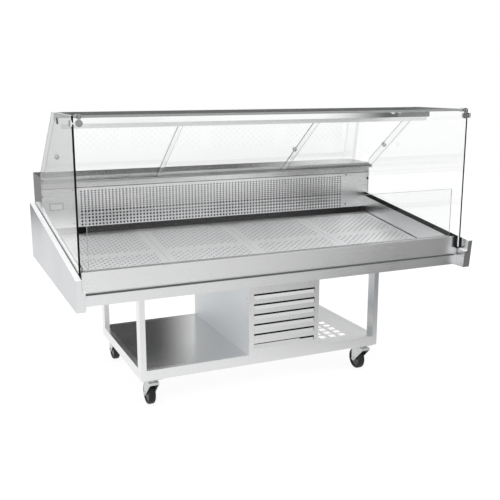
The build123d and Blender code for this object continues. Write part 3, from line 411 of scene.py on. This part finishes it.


# painted dark reflection on the side panes' front edges
finishes["paintedReflectionEdge"] = edgeFinish("glassEdgePaintedReflection", 0.008, rough=(0.3, 0.4), shine=0.1)
finishes["paleEdge"] = edgeFinish("paleGlassEdge", 0.62)
finishes["shelfEdge"] = edgeFinish("shelfGlassEdge", 0.34)
finishes["dimEdge"] = edgeFinish("dimGlassEdge", 0.38, rough=(0.5, 0.6), shine=0.0)
# painted dark reflection on the doors' edges and the right pane's sloping rear edge
finishes["paintedReflectionAcrylicEdge"] = edgeFinish("acrylicEdgePaintedReflection", 0.02, rough=(0.3, 0.4), shine=0.1)
# painted shadow for the gap under the fascia
finishes["paintedShadowGap"] = edgeFinish("paintedShadowGap", 0.11, rough=(0.6, 0.7), shine=0.1)
# painted light on the front pane's left-facing edges
finishes["paintedLightEdge"] = edgeFinish("glassEdgePaintedLight", 0.58, rough=(0.5, 0.6), shine=0.0)
finishes["displayFace"] = edgeFinish("displayWindow", 0.80, rough=(0.30, 0.40))
print("finishes made,", len(finishes))


def dress(piece, finishName):
    piece.data.materials.append(finishes[finishName])


def dressFaces(piece, finishName, test):
    # the faces that pass the test take another finish
    dress(piece, finishName)
    last = len(piece.data.materials) - 1
    for face in piece.data.polygons:
        if test(face.center, face.normal):
            face.material_index = last


# the frame's own pieces

nodeFinish = {
    "end_cheek_left": "cheekSteel", "end_cheek_right": "cheekSteel", "unit_side_panels": "housingSteel",
    "glass_clamp_bars": "paintedLightSteel", "base_frame": "uprightSteel", "unit_louvre_panel": "uprightSteel",
    "plenum_housing": "paintedShadeHoodSteel", "lower_shelf": "shelfSteel", "shelf_clamps": "polished",
    "lamp_housing": "lampSteel", "tub_liner": "linerSteel", "deck_bearers": "linerSteel",
    "door_knob_left": "clampSteel", "door_knob_middle": "clampSteel", "door_knob_right": "clampSteel",
    # inside the plenum all is black: painted shade, so that the air panel's holes read dark
    "evaporator_fan_left": "black_plastic", "evaporator_fan_right": "black_plastic",
    "evaporator_fan_motors": "black_paint", "evaporator_coil": "black_paint",
}
for nodeName, node in frame["nodes"].items():
    node.data.materials.clear()
    dress(node, nodeFinish.get(nodeName, slotOf[nodeName]))

dressing = {
    "lowRailBelow": 1.1, "lampLipBelow": 1.2948, "clampInside": 0.915,
    "displayBezel": 0.001, "doorTilt": 36.7,
}


def dressNode(nodeName, finishName, test):
    dressFaces(frame["nodes"][nodeName], finishName, test)


for hand, side in (("left", -1), ("right", 1)):
    # the cheeks' top faces take painted light
    dressNode(f"end_cheek_{hand}", "paintedLightSteel", lambda centre, normal: normal.z > mostly)
    # the cheeks' outer faces take painted shade
    dressNode(f"end_cheek_{hand}", "paintedShadeFlankSteel", lambda centre, normal: normal.x * side > mostly)
# the fascia's top faces take painted shade
dressNode("front_fascia", "paintedShadeRimSteel", lambda centre, normal: normal.z > mostly)
dressNode("tub_liner", "stainless", lambda centre, normal: abs(normal.x) > mostly)
# the hood keeps its painted shade, only its front faces are lighter
dressNode("plenum_housing", "lipSteel", lambda centre, normal: normal.y < -mostly)
dressNode("door_rails", "railSteel", lambda centre, normal: centre.z < dressing["lowRailBelow"])
dressNode("lamp_housing", "lampLip",
          lambda centre, normal: normal.y < -partly and centre.z < dressing["lampLipBelow"])
dressNode("shelf_clamps", "clampSteel",
          lambda centre, normal: normal.y < -partly and abs(centre.x) < dressing["clampInside"])
doorTilt = math.radians(dressing["doorTilt"])
doorNormal = Vector((0, math.sin(doorTilt), math.cos(doorTilt)))
for hand in ("left", "middle", "right"):
    # the doors' edges take a painted dark reflection
    dressNode(f"door_{hand}", "paintedReflectionAcrylicEdge", lambda centre, normal: abs(normal.dot(doorNormal)) < halfway)
    frame["nodes"][f"door_{hand}"].visible_shadow = False
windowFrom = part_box("temperature_display")[0].y + dressing["displayBezel"]
dressNode("temperature_display", "displayFace",
          lambda centre, normal: normal.y < -squarely and centre.y > windowFrom)
print("frame dressed")


# perforated sheets

holeSides = 8
cornersFrom = 0.3    # share of a tile beyond which a vertex is one of its corners


def holeTile(name, tile, hole):
    deselectAll()
    bpy.ops.mesh.primitive_circle_add(vertices=holeSides, radius=0.5)    # one across, then sized
    piece = bpy.context.object
    piece.name = name
    openUp(piece)
    bpy.ops.transform.resize(value=(hole[0], hole[1], 1), center_override=(0, 0, 0))
    bpy.ops.mesh.extrude_region_move()
    bpy.ops.transform.resize(value=(tile[0] / hole[0], tile[1] / hole[1], 1), center_override=(0, 0, 0))
    # the outer ring's slanting vertices go out to the corners
    pick(piece, "VERT", lambda co: abs(co.x) > cornersFrom * tile[0] and abs(co.y) > cornersFrom * tile[1])
    square = math.sqrt(2)
    bpy.ops.transform.resize(value=(square, square, 1), center_override=(0, 0, 0))
    closeUp()
    return piece


deck = {
    "panels": 4, "slope": 7.5, "middle": (-0.0665, 0.6838),    # depth and height of its top
    "front": -0.3853, "rear": 0.3837,
    "hole": (0.0096, 0.0104), "tile": (0.0176, 0.0317), "pairs": 11, "rows": 8,
    "frontField": -0.1150, "fieldStep": 0.302,
    "skirt": 0.012, "sheet": 0.0015, "rimRound": 0.0012, "rounds": 2,
}


def makeDeckPanel():
    # two staggered columns make a pair, pairs make a field, and each panel has two fields
    wide, tall = deck["tile"]
    low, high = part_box("deck_panel_1")
    half = (high.x - low.x) / 2
    span = tall * deck["rows"]
    even = holeTile("deckPanel", deck["tile"], deck["hole"])
    odd = copyOf(even, "deckOdd")
    shift(odd, (wide, tall / 2, 0))
    for column in (even, odd):
        repeat(column, deck["rows"], (0, tall, 0))
    # half a tile of plain sheet makes both columns as long
    growEdge(even, edgesAt("y", span - tall / 2), (0, tall / 2, 0))
    growEdge(odd, edgesAt("y", 0), (0, -tall / 2, 0))
    panel = joinUp([even, odd])
    mergeUp(panel)
    repeat(panel, deck["pairs"], (2 * wide, 0, 0))
    fieldWide = 2 * wide * deck["pairs"]
    fieldTall = span + tall / 2
    shift(panel, (wide / 2 - fieldWide / 2, tall / 2 - fieldTall / 2 + deck["frontField"], 0))
    # a plain band behind the field, both repeated once, and the last band drawn to the rear edge
    fieldTop = deck["frontField"] + fieldTall / 2
    band = deck["fieldStep"] - fieldTall
    growEdge(panel, edgesAt("y", fieldTop), (0, band, 0))
    repeat(panel, 2, (0, deck["fieldStep"], 0))
    bandTop = fieldTop + deck["fieldStep"] + band
    pick(panel, "VERT", lambda co: near(co.y, bandTop))
    bpy.ops.transform.translate(value=(0, deck["rear"] - bandTop, 0))
    # plain margins at the front and the sides, then the skirt
    foot = deck["frontField"] - fieldTall / 2
    growEdge(panel, edgesAt("y", foot), (0, deck["front"] - foot, 0))
    for side in (-1, 1):
        growEdge(panel, edgesAt("x", side * fieldWide / 2), (side * (half - fieldWide / 2), 0, 0))
    mergeUp(panel)
    rims = [edgesAt("x", place) for place in (-half, half)]
    rims += [edgesAt("y", place) for place in (deck["front"], deck["rear"])]

    def onRim(a, b):
        return any(rim(a, b) for rim in rims)

    growEdge(panel, onRim, (0, 0, -deck["skirt"]))
    mergeUp(panel)
    level = edgesAt("z", 0)
    roundEdges(panel, deck["rimRound"], deck["rounds"], lambda a, b: onRim(a, b) and level(a, b))
    faceUp(panel)
    thicken(panel, deck["sheet"])
    return panel


def layOnDeck(piece, index, aside=0.0):
    low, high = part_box(f"deck_panel_{index + 1}")
    piece.rotation_euler.x = math.radians(deck["slope"])
    piece.location = ((low.x + high.x) / 2 + aside, *deck["middle"])
    settle(piece)


deckPattern = makeDeckPanel()
for index in range(deck["panels"]):
    panel = copyOf(deckPattern, f"deckPanel{index + 1}")
    layOnDeck(panel, index)
    dress(panel, "deckSteel")
    finishPiece(panel, f"deck_panel_{index + 1}", "stainless", f"deck_panel_{index + 1}")
bpy.data.objects.remove(deckPattern)
print("deck panels perforated")

airPanel = {
    "innerHalf": 0.8986, "stepRows": 3, "columns": 85, "lowFirst": 0.7755, "sheet": 0.0015,
    "lowTile": (0.0175, 0.0165), "lowHole": (0.0105, 0.0105), "lowRows": 5,
    "highTile": (0.0175, 0.01075), "highHole": (0.0100, 0.0055), "highRows": 9,
}
airLow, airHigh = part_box("air_panel")


def makeAirPanel():
    # one column of low and high holes, repeated along the panel, then its plain margins
    wide, lowTall = airPanel["lowTile"]
    highTall = airPanel["highTile"][1]
    low = holeTile("airPanel", airPanel["lowTile"], airPanel["lowHole"])
    high = holeTile("airHigh", airPanel["highTile"], airPanel["highHole"])
    shift(low, (0, airPanel["lowFirst"], 0))
    lowTop = airPanel["lowFirst"] + (airPanel["lowRows"] - 0.5) * lowTall
    shift(high, (0, lowTop + highTall / 2, 0))
    repeat(low, airPanel["lowRows"], (0, lowTall, 0))
    repeat(high, airPanel["highRows"], (0, highTall, 0))
    panel = joinUp([low, high])
    mergeUp(panel)
    foot = airPanel["lowFirst"] - lowTall / 2
    head = lowTop + airPanel["highRows"] * highTall
    growEdge(panel, edgesAt("y", foot), (0, airLow.z - foot, 0))
    growEdge(panel, edgesAt("y", head), (0, airHigh.z - head, 0))
    repeat(panel, airPanel["columns"], (wide, 0, 0))
    shift(panel, (-(airPanel["columns"] - 1) * wide / 2, 0, 0))
    rim = airPanel["columns"] * wide / 2
    step = airPanel["lowFirst"] + airPanel["stepRows"] * lowTall
    inner = airPanel["innerHalf"]
    for side in (-1, 1):
        growEdge(panel, edgesAt("x", side * rim), (side * (inner - rim), 0, 0))
        # above the step the panel reaches further out
        atInner = edgesAt("x", side * inner)
        growEdge(panel, lambda a, b: atInner(a, b) and min(a.y, b.y) > step - closeBy,
                 (side * (airHigh.x - inner), 0, 0))
    growEdge(panel, edgesAt("y", airLow.z), (0, 0, airLow.y - airHigh.y))
    mergeUp(panel)
    faceUp(panel)
    thicken(panel, airPanel["sheet"])
    panel.rotation_euler.x = math.radians(90)
    panel.location = (0, airLow.y, 0)
    settle(panel)
    dress(panel, "airSteel")
    finishPiece(panel, "counter", "stainless", "air_panel")


makeAirPanel()
print("air panel perforated")


# panes with ground edges

pane = {
    "arris": 0.0009, "strip": 0.022, "footSlope": 7.5,
    "topDepth": -0.0835, "rearHeight": 1.038,    # where a side pane's rear edge starts to slope, and ends
}


def dressPane(piece, axis, face, edge):
    dress(piece, face)
    dressFaces(piece, edge, lambda centre, normal: abs(normal[axis]) <= squarely)
    piece.visible_shadow = False


def paleStrip(piece, corner, across):
    # a clear strip runs down the sloping rear edge
    inside = corner - across * pane["strip"]
    openUp(piece)
    bpy.ops.mesh.bisect(plane_co=inside, plane_no=across)
    closeUp()
    dressFaces(piece, "clear_glass",
               lambda centre, normal: abs(normal.x) > squarely and (centre - inside).dot(across) > 0)


def makeSidePane(hand):
    low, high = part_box(f"side_glass_{hand}")
    piece = block(f"sidePane.{hand}", low, high)
    corner = Vector((0, pane["topDepth"], high.z))
    across = Vector((0, high.z - pane["rearHeight"], high.y - pane["topDepth"])).normalized()
    cutAway(piece, corner, across)
    tilt = math.radians(pane["footSlope"])
    cutAway(piece, (0, low.y, low.z), (0, math.sin(tilt), -math.cos(tilt)))
    roundEdges(piece, pane["arris"], 1)
    dressPane(piece, 0, "leftGlass" if hand == "left" else "clear_glass", "paleEdge")
    # the front edges take a painted dark reflection
    dressFaces(piece, "paintedReflectionEdge", lambda centre, normal: normal.y < -halfway)
    if hand == "left":
        paleStrip(piece, corner, across)
    else:
        # its sloping rear edge shows dark, a painted dark reflection
        dressFaces(piece, "paintedReflectionAcrylicEdge", lambda centre, normal: normal.y > partly and normal.z > partly)
    finishPiece(piece, "counter", "clear_glass", f"side_glass_{hand}")


for hand in ("left", "right"):
    makeSidePane(hand)

frontPane = block("frontPane", *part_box("front_pane"))
roundEdges(frontPane, pane["arris"], 1)
dressPane(frontPane, 1, "frontGlass", "dimEdge")
# the left-facing edges take painted light
dressFaces(frontPane, "paintedLightEdge", lambda centre, normal: normal.x < -partly)
finishPiece(frontPane, "counter", "clear_glass", "front_pane")

shelfPane = block("shelfPane", *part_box("top_shelf"))
roundEdges(shelfPane, pane["arris"], 1)
dressPane(shelfPane, 2, "shelfGlass", "shelfEdge")
finishPiece(shelfPane, "counter", "clear_glass", "top_shelf")
print("panes ground")


# caster wheels

wheel = {
    "sides": 56, "shoulder": 0.009, "rounds": 4, "wall": 0.00455, "sink": 0.004, "sinkSlope": 0.002,
    "boss": 0.024, "rise": 0.003, "riseSlope": 0.0015, "tyreDeep": 0.015, "smooth": 35,
}


def makeWheel(low, high):
    # centred on the origin, its axle along X
    radius = (high.z - low.z) / 2
    width = high.x - low.x
    deselectAll()
    bpy.ops.mesh.primitive_cylinder_add(vertices=wheel["sides"], radius=radius, depth=width,
                                        rotation=radiansOf((0, 90, 0)))
    piece = bpy.context.object
    piece.name = "wheelPattern"
    settle(piece)
    roundEdges(piece, wheel["shoulder"], wheel["rounds"], lambda a, b: near(a.x, b.x))
    web = radius - wheel["shoulder"] - wheel["wall"] - wheel["boss"] / 2
    for side in (-1, 1):
        pick(piece, "FACE",
             lambda centre, normal: near(centre.x, side * width / 2) and abs(normal.x) > flat)
        bpy.ops.mesh.inset(thickness=wheel["wall"], depth=0)
        bpy.ops.mesh.inset(thickness=wheel["sinkSlope"], depth=-wheel["sink"])
        bpy.ops.mesh.inset(thickness=web, depth=0)
        bpy.ops.mesh.inset(thickness=wheel["riseSlope"], depth=wheel["rise"])
        closeUp()
    mergeUp(piece)
    dress(piece, "tyre")
    dressFaces(piece, "black_plastic",
               lambda centre, normal: math.hypot(centre.y, centre.z) < radius - wheel["tyreDeep"])
    takeUp(piece)
    bpy.ops.object.shade_smooth_by_angle(angle=math.radians(wheel["smooth"]))
    return piece


wheelPattern = makeWheel(*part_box("caster_wheel_front_left"))
for corner in ("front_left", "front_right", "rear_left", "rear_right"):
    low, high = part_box(f"caster_wheel_{corner}")
    turned = copyOf(wheelPattern, f"wheel.{corner}")
    shift(turned, (low + high) / 2)
    finishPiece(turned, f"wheel_{corner}", "tyre", f"caster_wheel_{corner}")
bpy.data.objects.remove(wheelPattern)
print("wheels turned")


# strips: the painted shadow strip and the hem under the fascia, painted shade in the louvre slots, a
# painted shade line under the lip, painted shade along the deck's ends

stripRounds = 2


def makeStrip(name, strip):
    piece = block(name, strip["low"], strip["high"])
    roundEdges(piece, strip["round"], stripRounds)
    return piece


def layStrip(piece, finishName, slot, body="counter"):
    dress(piece, finishName)
    finishPiece(piece, body, slot)


# a dark strip under the fascia, over the apron's ledge, is painted shadow in the gap
apronShadowStrip = {"low": (-0.9126, -0.4965, 0.6401), "high": (0.9002, -0.4885, 0.6444), "round": 0.0008}
layStrip(makeStrip("apronShadowStrip", apronShadowStrip), "paintedShadowGap", "black_rubber")

fasciaHem = {"low": (-0.9126, -0.4884, 0.6452), "high": (0.9002, -0.4840, 0.6489), "round": 0.0006}
layStrip(makeStrip("fasciaHem", fasciaHem), "stainless", "stainless")

# black strips behind the louvre slots are painted shade
slotShade = {
    "rows": 6, "pitch": 0.0488, "foot": 0.4848, "head": 0.4936, "inset": 0.0246, "lastLength": 0.075,
    "front": 0.0008, "back": 0.0028, "round": 0.0004,
}
louvreLow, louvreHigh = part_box("unit_louvre_panel")
slotLeft = louvreLow.x + slotShade["inset"]
slotRight = louvreHigh.x - slotShade["inset"]


def makeShade(name, left):
    # painted shade for the top louvre slot: a black strip just behind the panel's face
    return makeStrip(name, {
        "low": (left, louvreLow.y + slotShade["front"], slotShade["foot"]),
        "high": (slotRight, louvreLow.y + slotShade["back"], slotShade["head"]),
        "round": slotShade["round"]})


longShade = makeShade("longShade", slotLeft)
# the lowest slot carries painted shade at its right end only
lastShade = makeShade("lastShade", slotRight - slotShade["lastLength"])
for row in range(slotShade["rows"]):
    pattern = lastShade if row == slotShade["rows"] - 1 else longShade
    shade = copyOf(pattern, f"slotShade.{row}")
    shift(shade, (0, 0, -row * slotShade["pitch"]))
    layStrip(shade, "black_paint", "black_paint")
for pattern in (longShade, lastShade):
    bpy.data.objects.remove(pattern)

# a dark strip under the plenum's lip is a painted shade line
lipShadowLine = {"low": (-0.9225, 0.3222, 0.9586), "high": (0.9225, 0.3236, 0.9610), "round": 0.0003}
layStrip(makeStrip("lipShadowLine", lipShadowLine), "black_rubber", "black_rubber")

# a dark strip along each end of the deck, on the outermost panels, is painted shade at the deck's edge
deckEdgeShade = {
    "low": (-0.0021, -0.3850, 0.0001), "high": (0.0021, 0.3830, 0.0014), "round": 0.0004, "aside": 0.2217,
}
edgeShadePattern = makeStrip("edgeShadePattern", deckEdgeShade)
for side, index in ((-1, 0), (1, deck["panels"] - 1)):
    edgeShade = copyOf(edgeShadePattern, f"deckEdgeShade.{index + 1}")
    layOnDeck(edgeShade, index, side * deckEdgeShade["aside"])
    layStrip(edgeShade, "black_rubber", "black_rubber", f"deck_panel_{index + 1}")
bpy.data.objects.remove(edgeShadePattern)
print("strips laid")


# screws, bolts, rivets and rubber plugs

# rim, land and slope are shares of the stud's size
stud = {"sides": 20, "rim": 0.45, "rounds": 3, "land": 0.2, "slope": 0.05, "sink": 0.0006, "smooth": 40}


def makeStud(name, radius, height):
    # stands on the origin along +Z, rounded at its rim and sunk in the middle
    deselectAll()
    bpy.ops.mesh.primitive_cylinder_add(vertices=stud["sides"], radius=radius, depth=height,
                                        location=(0, 0, height / 2))
    piece = bpy.context.object
    piece.name = name
    settle(piece)
    roundEdges(piece, min(height, radius) * stud["rim"], stud["rounds"], edgesAt("z", height))
    pick(piece, "FACE", lambda centre, normal: normal.z > flat)
    bpy.ops.mesh.inset(thickness=radius * stud["land"], depth=0)
    bpy.ops.mesh.inset(thickness=radius * stud["slope"], depth=-stud["sink"])
    closeUp()
    bpy.ops.object.shade_smooth_by_angle(angle=math.radians(stud["smooth"]))
    return piece


def setStud(pattern, name, place, turn, finish):
    piece = copyOf(pattern, name)
    piece.rotation_euler = radiansOf(turn)
    piece.location = place
    settle(piece)
    dress(piece, finish)
    finishPiece(piece, "counter", finish)


screwSize = (0.0042, 0.0026)    # radius and height
screw = makeStud("screwPattern", *screwSize)
airScrew = {"x": 0.7695, "z": (0.9505, 0.7840)}
for side in (-1, 1):
    for row, height in enumerate(airScrew["z"]):
        place = (side * airScrew["x"], airLow.y, height)
        setStud(screw, f"airScrew.{row}.{side + 1}", place, (90, 0, 0), "black_paint")

cheekBolts = ((-0.5445, 0.645), (-0.5425, 0.603))    # depth and height
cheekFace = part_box("end_cheek_right")[0].x
for side in (-1, 1):
    for row, (depth, height) in enumerate(cheekBolts):
        place = (side * cheekFace, depth, height)
        setStud(screw, f"cheekBolt.{row}.{side + 1}", place, (0, -90 * side, 0), "zinc")

housingRivet = {"size": (0.0032, 0.0012), "yz": ((-0.2535, 0.473), (-0.2555, 0.3685))}
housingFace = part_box("unit_side_panels")[0].x
rivet = makeStud("rivetPattern", *housingRivet["size"])
for row, (depth, height) in enumerate(housingRivet["yz"]):
    setStud(rivet, f"housingRivet.{row}", (housingFace, depth, height), (0, -90, 0), "zinc")

endPlug = {"size": (0.0062, 0.0030), "x": 0.9165, "yz": (0.3223, 0.9245)}
plug = makeStud("plugPattern", *endPlug["size"])
for side in (-1, 1):
    place = (side * endPlug["x"], *endPlug["yz"])
    setStud(plug, f"endPlug.{side + 1}", place, (90, 0, 0), "black_rubber")
for pattern in (screw, rivet, plug):
    bpy.data.objects.remove(pattern)
print("fittings set")


# studio

studio = {"white": (1, 1, 1, 1), "fill": 0.75, "show": 1.0}
floorLook = {"size": 14.0, "shade": 0.18, "fill": 0.45, "show": 0.88}


def backdropShare(tree):
    # 1 for rays that the camera, metal and glass send out
    rays = addNode(tree, "ShaderNodeLightPath").outputs
    direct = mathOf(tree, "MAXIMUM", rays["Is Camera Ray"], rays["Is Glossy Ray"])
    return mathOf(tree, "MAXIMUM", direct, rays["Is Transmission Ray"])


def makeWorld():
    world = bpy.data.worlds.new("studioWhite")
    bpy.context.scene.world = world
    world.use_nodes = True
    tree = world.node_tree
    back = tree.nodes["Background"]
    back.inputs["Color"].default_value = studio["white"]
    strength = spread(tree, backdropShare(tree), studio["fill"], studio["show"], wholeSpan)
    tree.links.new(strength, back.inputs["Strength"])


def bareFinish(name):
    finish, tree, shader = newFinish(name)
    tree.nodes.remove(shader)
    return finish, tree, tree.nodes["Material Output"]


def makeFloor():
    deselectAll()
    bpy.ops.mesh.primitive_plane_add(size=floorLook["size"], location=(0, 0, 0))
    floor = bpy.context.object
    floor.name = "floor"
    finish, tree, out = bareFinish("paleFloor")
    matt = addNode(tree, "ShaderNodeBsdfDiffuse")
    shade = floorLook["shade"]
    matt.inputs["Color"].default_value = (shade, shade, shade, 1)
    glow = addNode(tree, "ShaderNodeEmission")
    strength = spread(tree, backdropShare(tree), floorLook["fill"], floorLook["show"], wholeSpan)
    tree.links.new(strength, glow.inputs["Strength"])
    both = addNode(tree, "ShaderNodeAddShader")
    tree.links.new(matt.outputs["BSDF"], both.inputs[0])
    tree.links.new(glow.outputs["Emission"], both.inputs[1])
    tree.links.new(both.outputs["Shader"], out.inputs["Surface"])
    floor.data.materials.append(finish)


# grey cards that only reflections see; each fade runs from the card's tone to white along an axis
cards = {
    "under": {"middle": (-0.2, 1.6, 0.62), "size": (1.2, 0.72), "turn": 90, "tone": 0.08,
              "fades": (("X", 0.0, 0.42), ("X", -0.62, -0.8))},
    "aside": {"middle": (1.4, 1.6, 0.62), "size": (2.0, 0.72), "turn": 90, "tone": 0.68,
              "fades": (("X", 0.7, 0.4), ("X", 2.0, 2.4))},
    "over": {"middle": (0.3, 1.6, 1.155), "size": (2.6, 0.35), "turn": 90, "tone": 0.08,
             "fades": (("X", 0.55, 1.5), ("X", -0.86, -1.0))},
    "above": {"middle": (1.55, 1.6, 1.50), "size": (4.5, 0.34), "turn": 90, "tone": 0.14,
              "fades": (("X", 2.0, 3.7), ("X", -0.55, -0.68), ("Z", 1.55, 1.66))},
    "beside": {"middle": (-1.5, 1.62, 0.95), "size": (1.4, 0.9), "turn": 90, "tone": 0.34,
               "fades": (("X", -1.9, -2.2), ("Z", 0.68, 0.5))},
    "before": {"middle": (2.5, -2.1, 0.004), "size": (6.0, 3.6), "turn": 0, "tone": 0.10,
               "fades": (("X", 2.4, -0.45), ("Y", -2.7, -3.6), ("Y", -0.7, -0.35))},
    "afar": {"middle": (4.3, -4.2, 0.006), "size": (3.4, 1.4), "turn": 0, "tone": 0.15,
             "fades": (("X", 3.4, 2.6), ("Y", -3.9, -3.5))},
    "facing": {"middle": (2.5, -5.0, 0.5), "size": (8.0, 0.9), "turn": 90, "tone": 0.08,
               "fades": (("Z", 0.75, 0.95), ("Z", 0.40, 0.22), ("X", -1.2, -1.5)), "throughGlass": True},
    "corner": {"middle": (4.4, -4.9, 0.55), "size": (5.2, 1.1), "turn": 90, "tone": 0.07,
               "fades": (("X", 3.6, 1.8), ("Z", 0.72, 1.02)), "throughGlass": True},
    "lampEnd": {"middle": (5.0, -4.88, 1.15), "size": (4.0, 0.5), "turn": 90, "tone": 0.12,
                "fades": (("X", 3.9, 2.9), ("Z", 1.28, 1.40), ("Z", 1.00, 0.92)), "throughGlass": True},
}


def fadeShare(tree, fades):
    # 0 inside all the fades, 1 beyond any of them
    place = addNode(tree, "ShaderNodeTexCoord")
    axes = addNode(tree, "ShaderNodeSeparateXYZ")
    tree.links.new(place.outputs["Object"], axes.inputs["Vector"])
    white = None
    for axis, start, end in fades:
        fade = addNode(tree, "ShaderNodeMapRange", interpolation_type="SMOOTHSTEP")
        fade.inputs["From Min"].default_value = start
        fade.inputs["From Max"].default_value = end
        tree.links.new(axes.outputs[axis], fade.inputs["Value"])
        if white is None:
            white = fade.outputs["Result"]
        else:
            both = addNode(tree, "ShaderNodeMix", data_type="FLOAT")
            tree.links.new(fade.outputs["Result"], both.inputs["Factor"])
            tree.links.new(white, both.inputs["A"])
            both.inputs["B"].default_value = 1.0
            white = both.outputs["Result"]
    return white


def makeCard(name):
    look = cards[name]
    deselectAll()
    turn = radiansOf((look["turn"], 0, 0))
    bpy.ops.mesh.primitive_plane_add(size=1, location=look["middle"], rotation=turn)
    card = bpy.context.object
    card.name = f"card.{name}"
    card.scale = (*look["size"], 1)
    settle(card)
    finish, tree, out = bareFinish(f"greyCard.{name}")
    glow = addNode(tree, "ShaderNodeEmission")
    strength = spread(tree, fadeShare(tree, look["fades"]), look["tone"], 1.0, wholeSpan)
    tree.links.new(strength, glow.inputs["Strength"])
    # a ray that has met no shiny face yet passes the card by
    rays = addNode(tree, "ShaderNodeLightPath")
    gone = addNode(tree, "ShaderNodeBsdfTransparent")
    shown = addNode(tree, "ShaderNodeMixShader")
    tree.links.new(spread(tree, rays.outputs["Glossy Depth"], 0.0, 1.0, wholeSpan), shown.inputs["Fac"])
    tree.links.new(gone.outputs["BSDF"], shown.inputs[1])
    tree.links.new(glow.outputs["Emission"], shown.inputs[2])
    tree.links.new(shown.outputs["Shader"], out.inputs["Surface"])
    card.data.materials.append(finish)
    card.visible_camera = False
    card.visible_diffuse = False
    card.visible_shadow = False
    card.visible_transmission = look.get("throughGlass", False)


makeWorld()
makeFloor()
for cardName in cards:
    makeCard(cardName)

sunLook = {"place": (-2, -3, 5), "turn": (32, 0, -34), "power": 1.5, "spread": 60}
deselectAll()
bpy.ops.object.light_add(type="SUN", location=sunLook["place"], rotation=radiansOf(sunLook["turn"]))
sun = bpy.context.object
sun.data.energy = sunLook["power"]
sun.data.angle = math.radians(sunLook["spread"])
print("studio lit")

shot = {"place": (-1.4806, -3.375, 1.4547), "turn": (77.62, 0, -24.08), "lens": 54.43, "sensor": 36}
deselectAll()
bpy.ops.object.camera_add(location=shot["place"], rotation=radiansOf(shot["turn"]))
camera = bpy.context.object
camera.data.sensor_width = shot["sensor"]
camera.data.lens = shot["lens"]
bpy.context.scene.camera = camera
bpy.context.scene.view_settings.view_transform = "Standard"
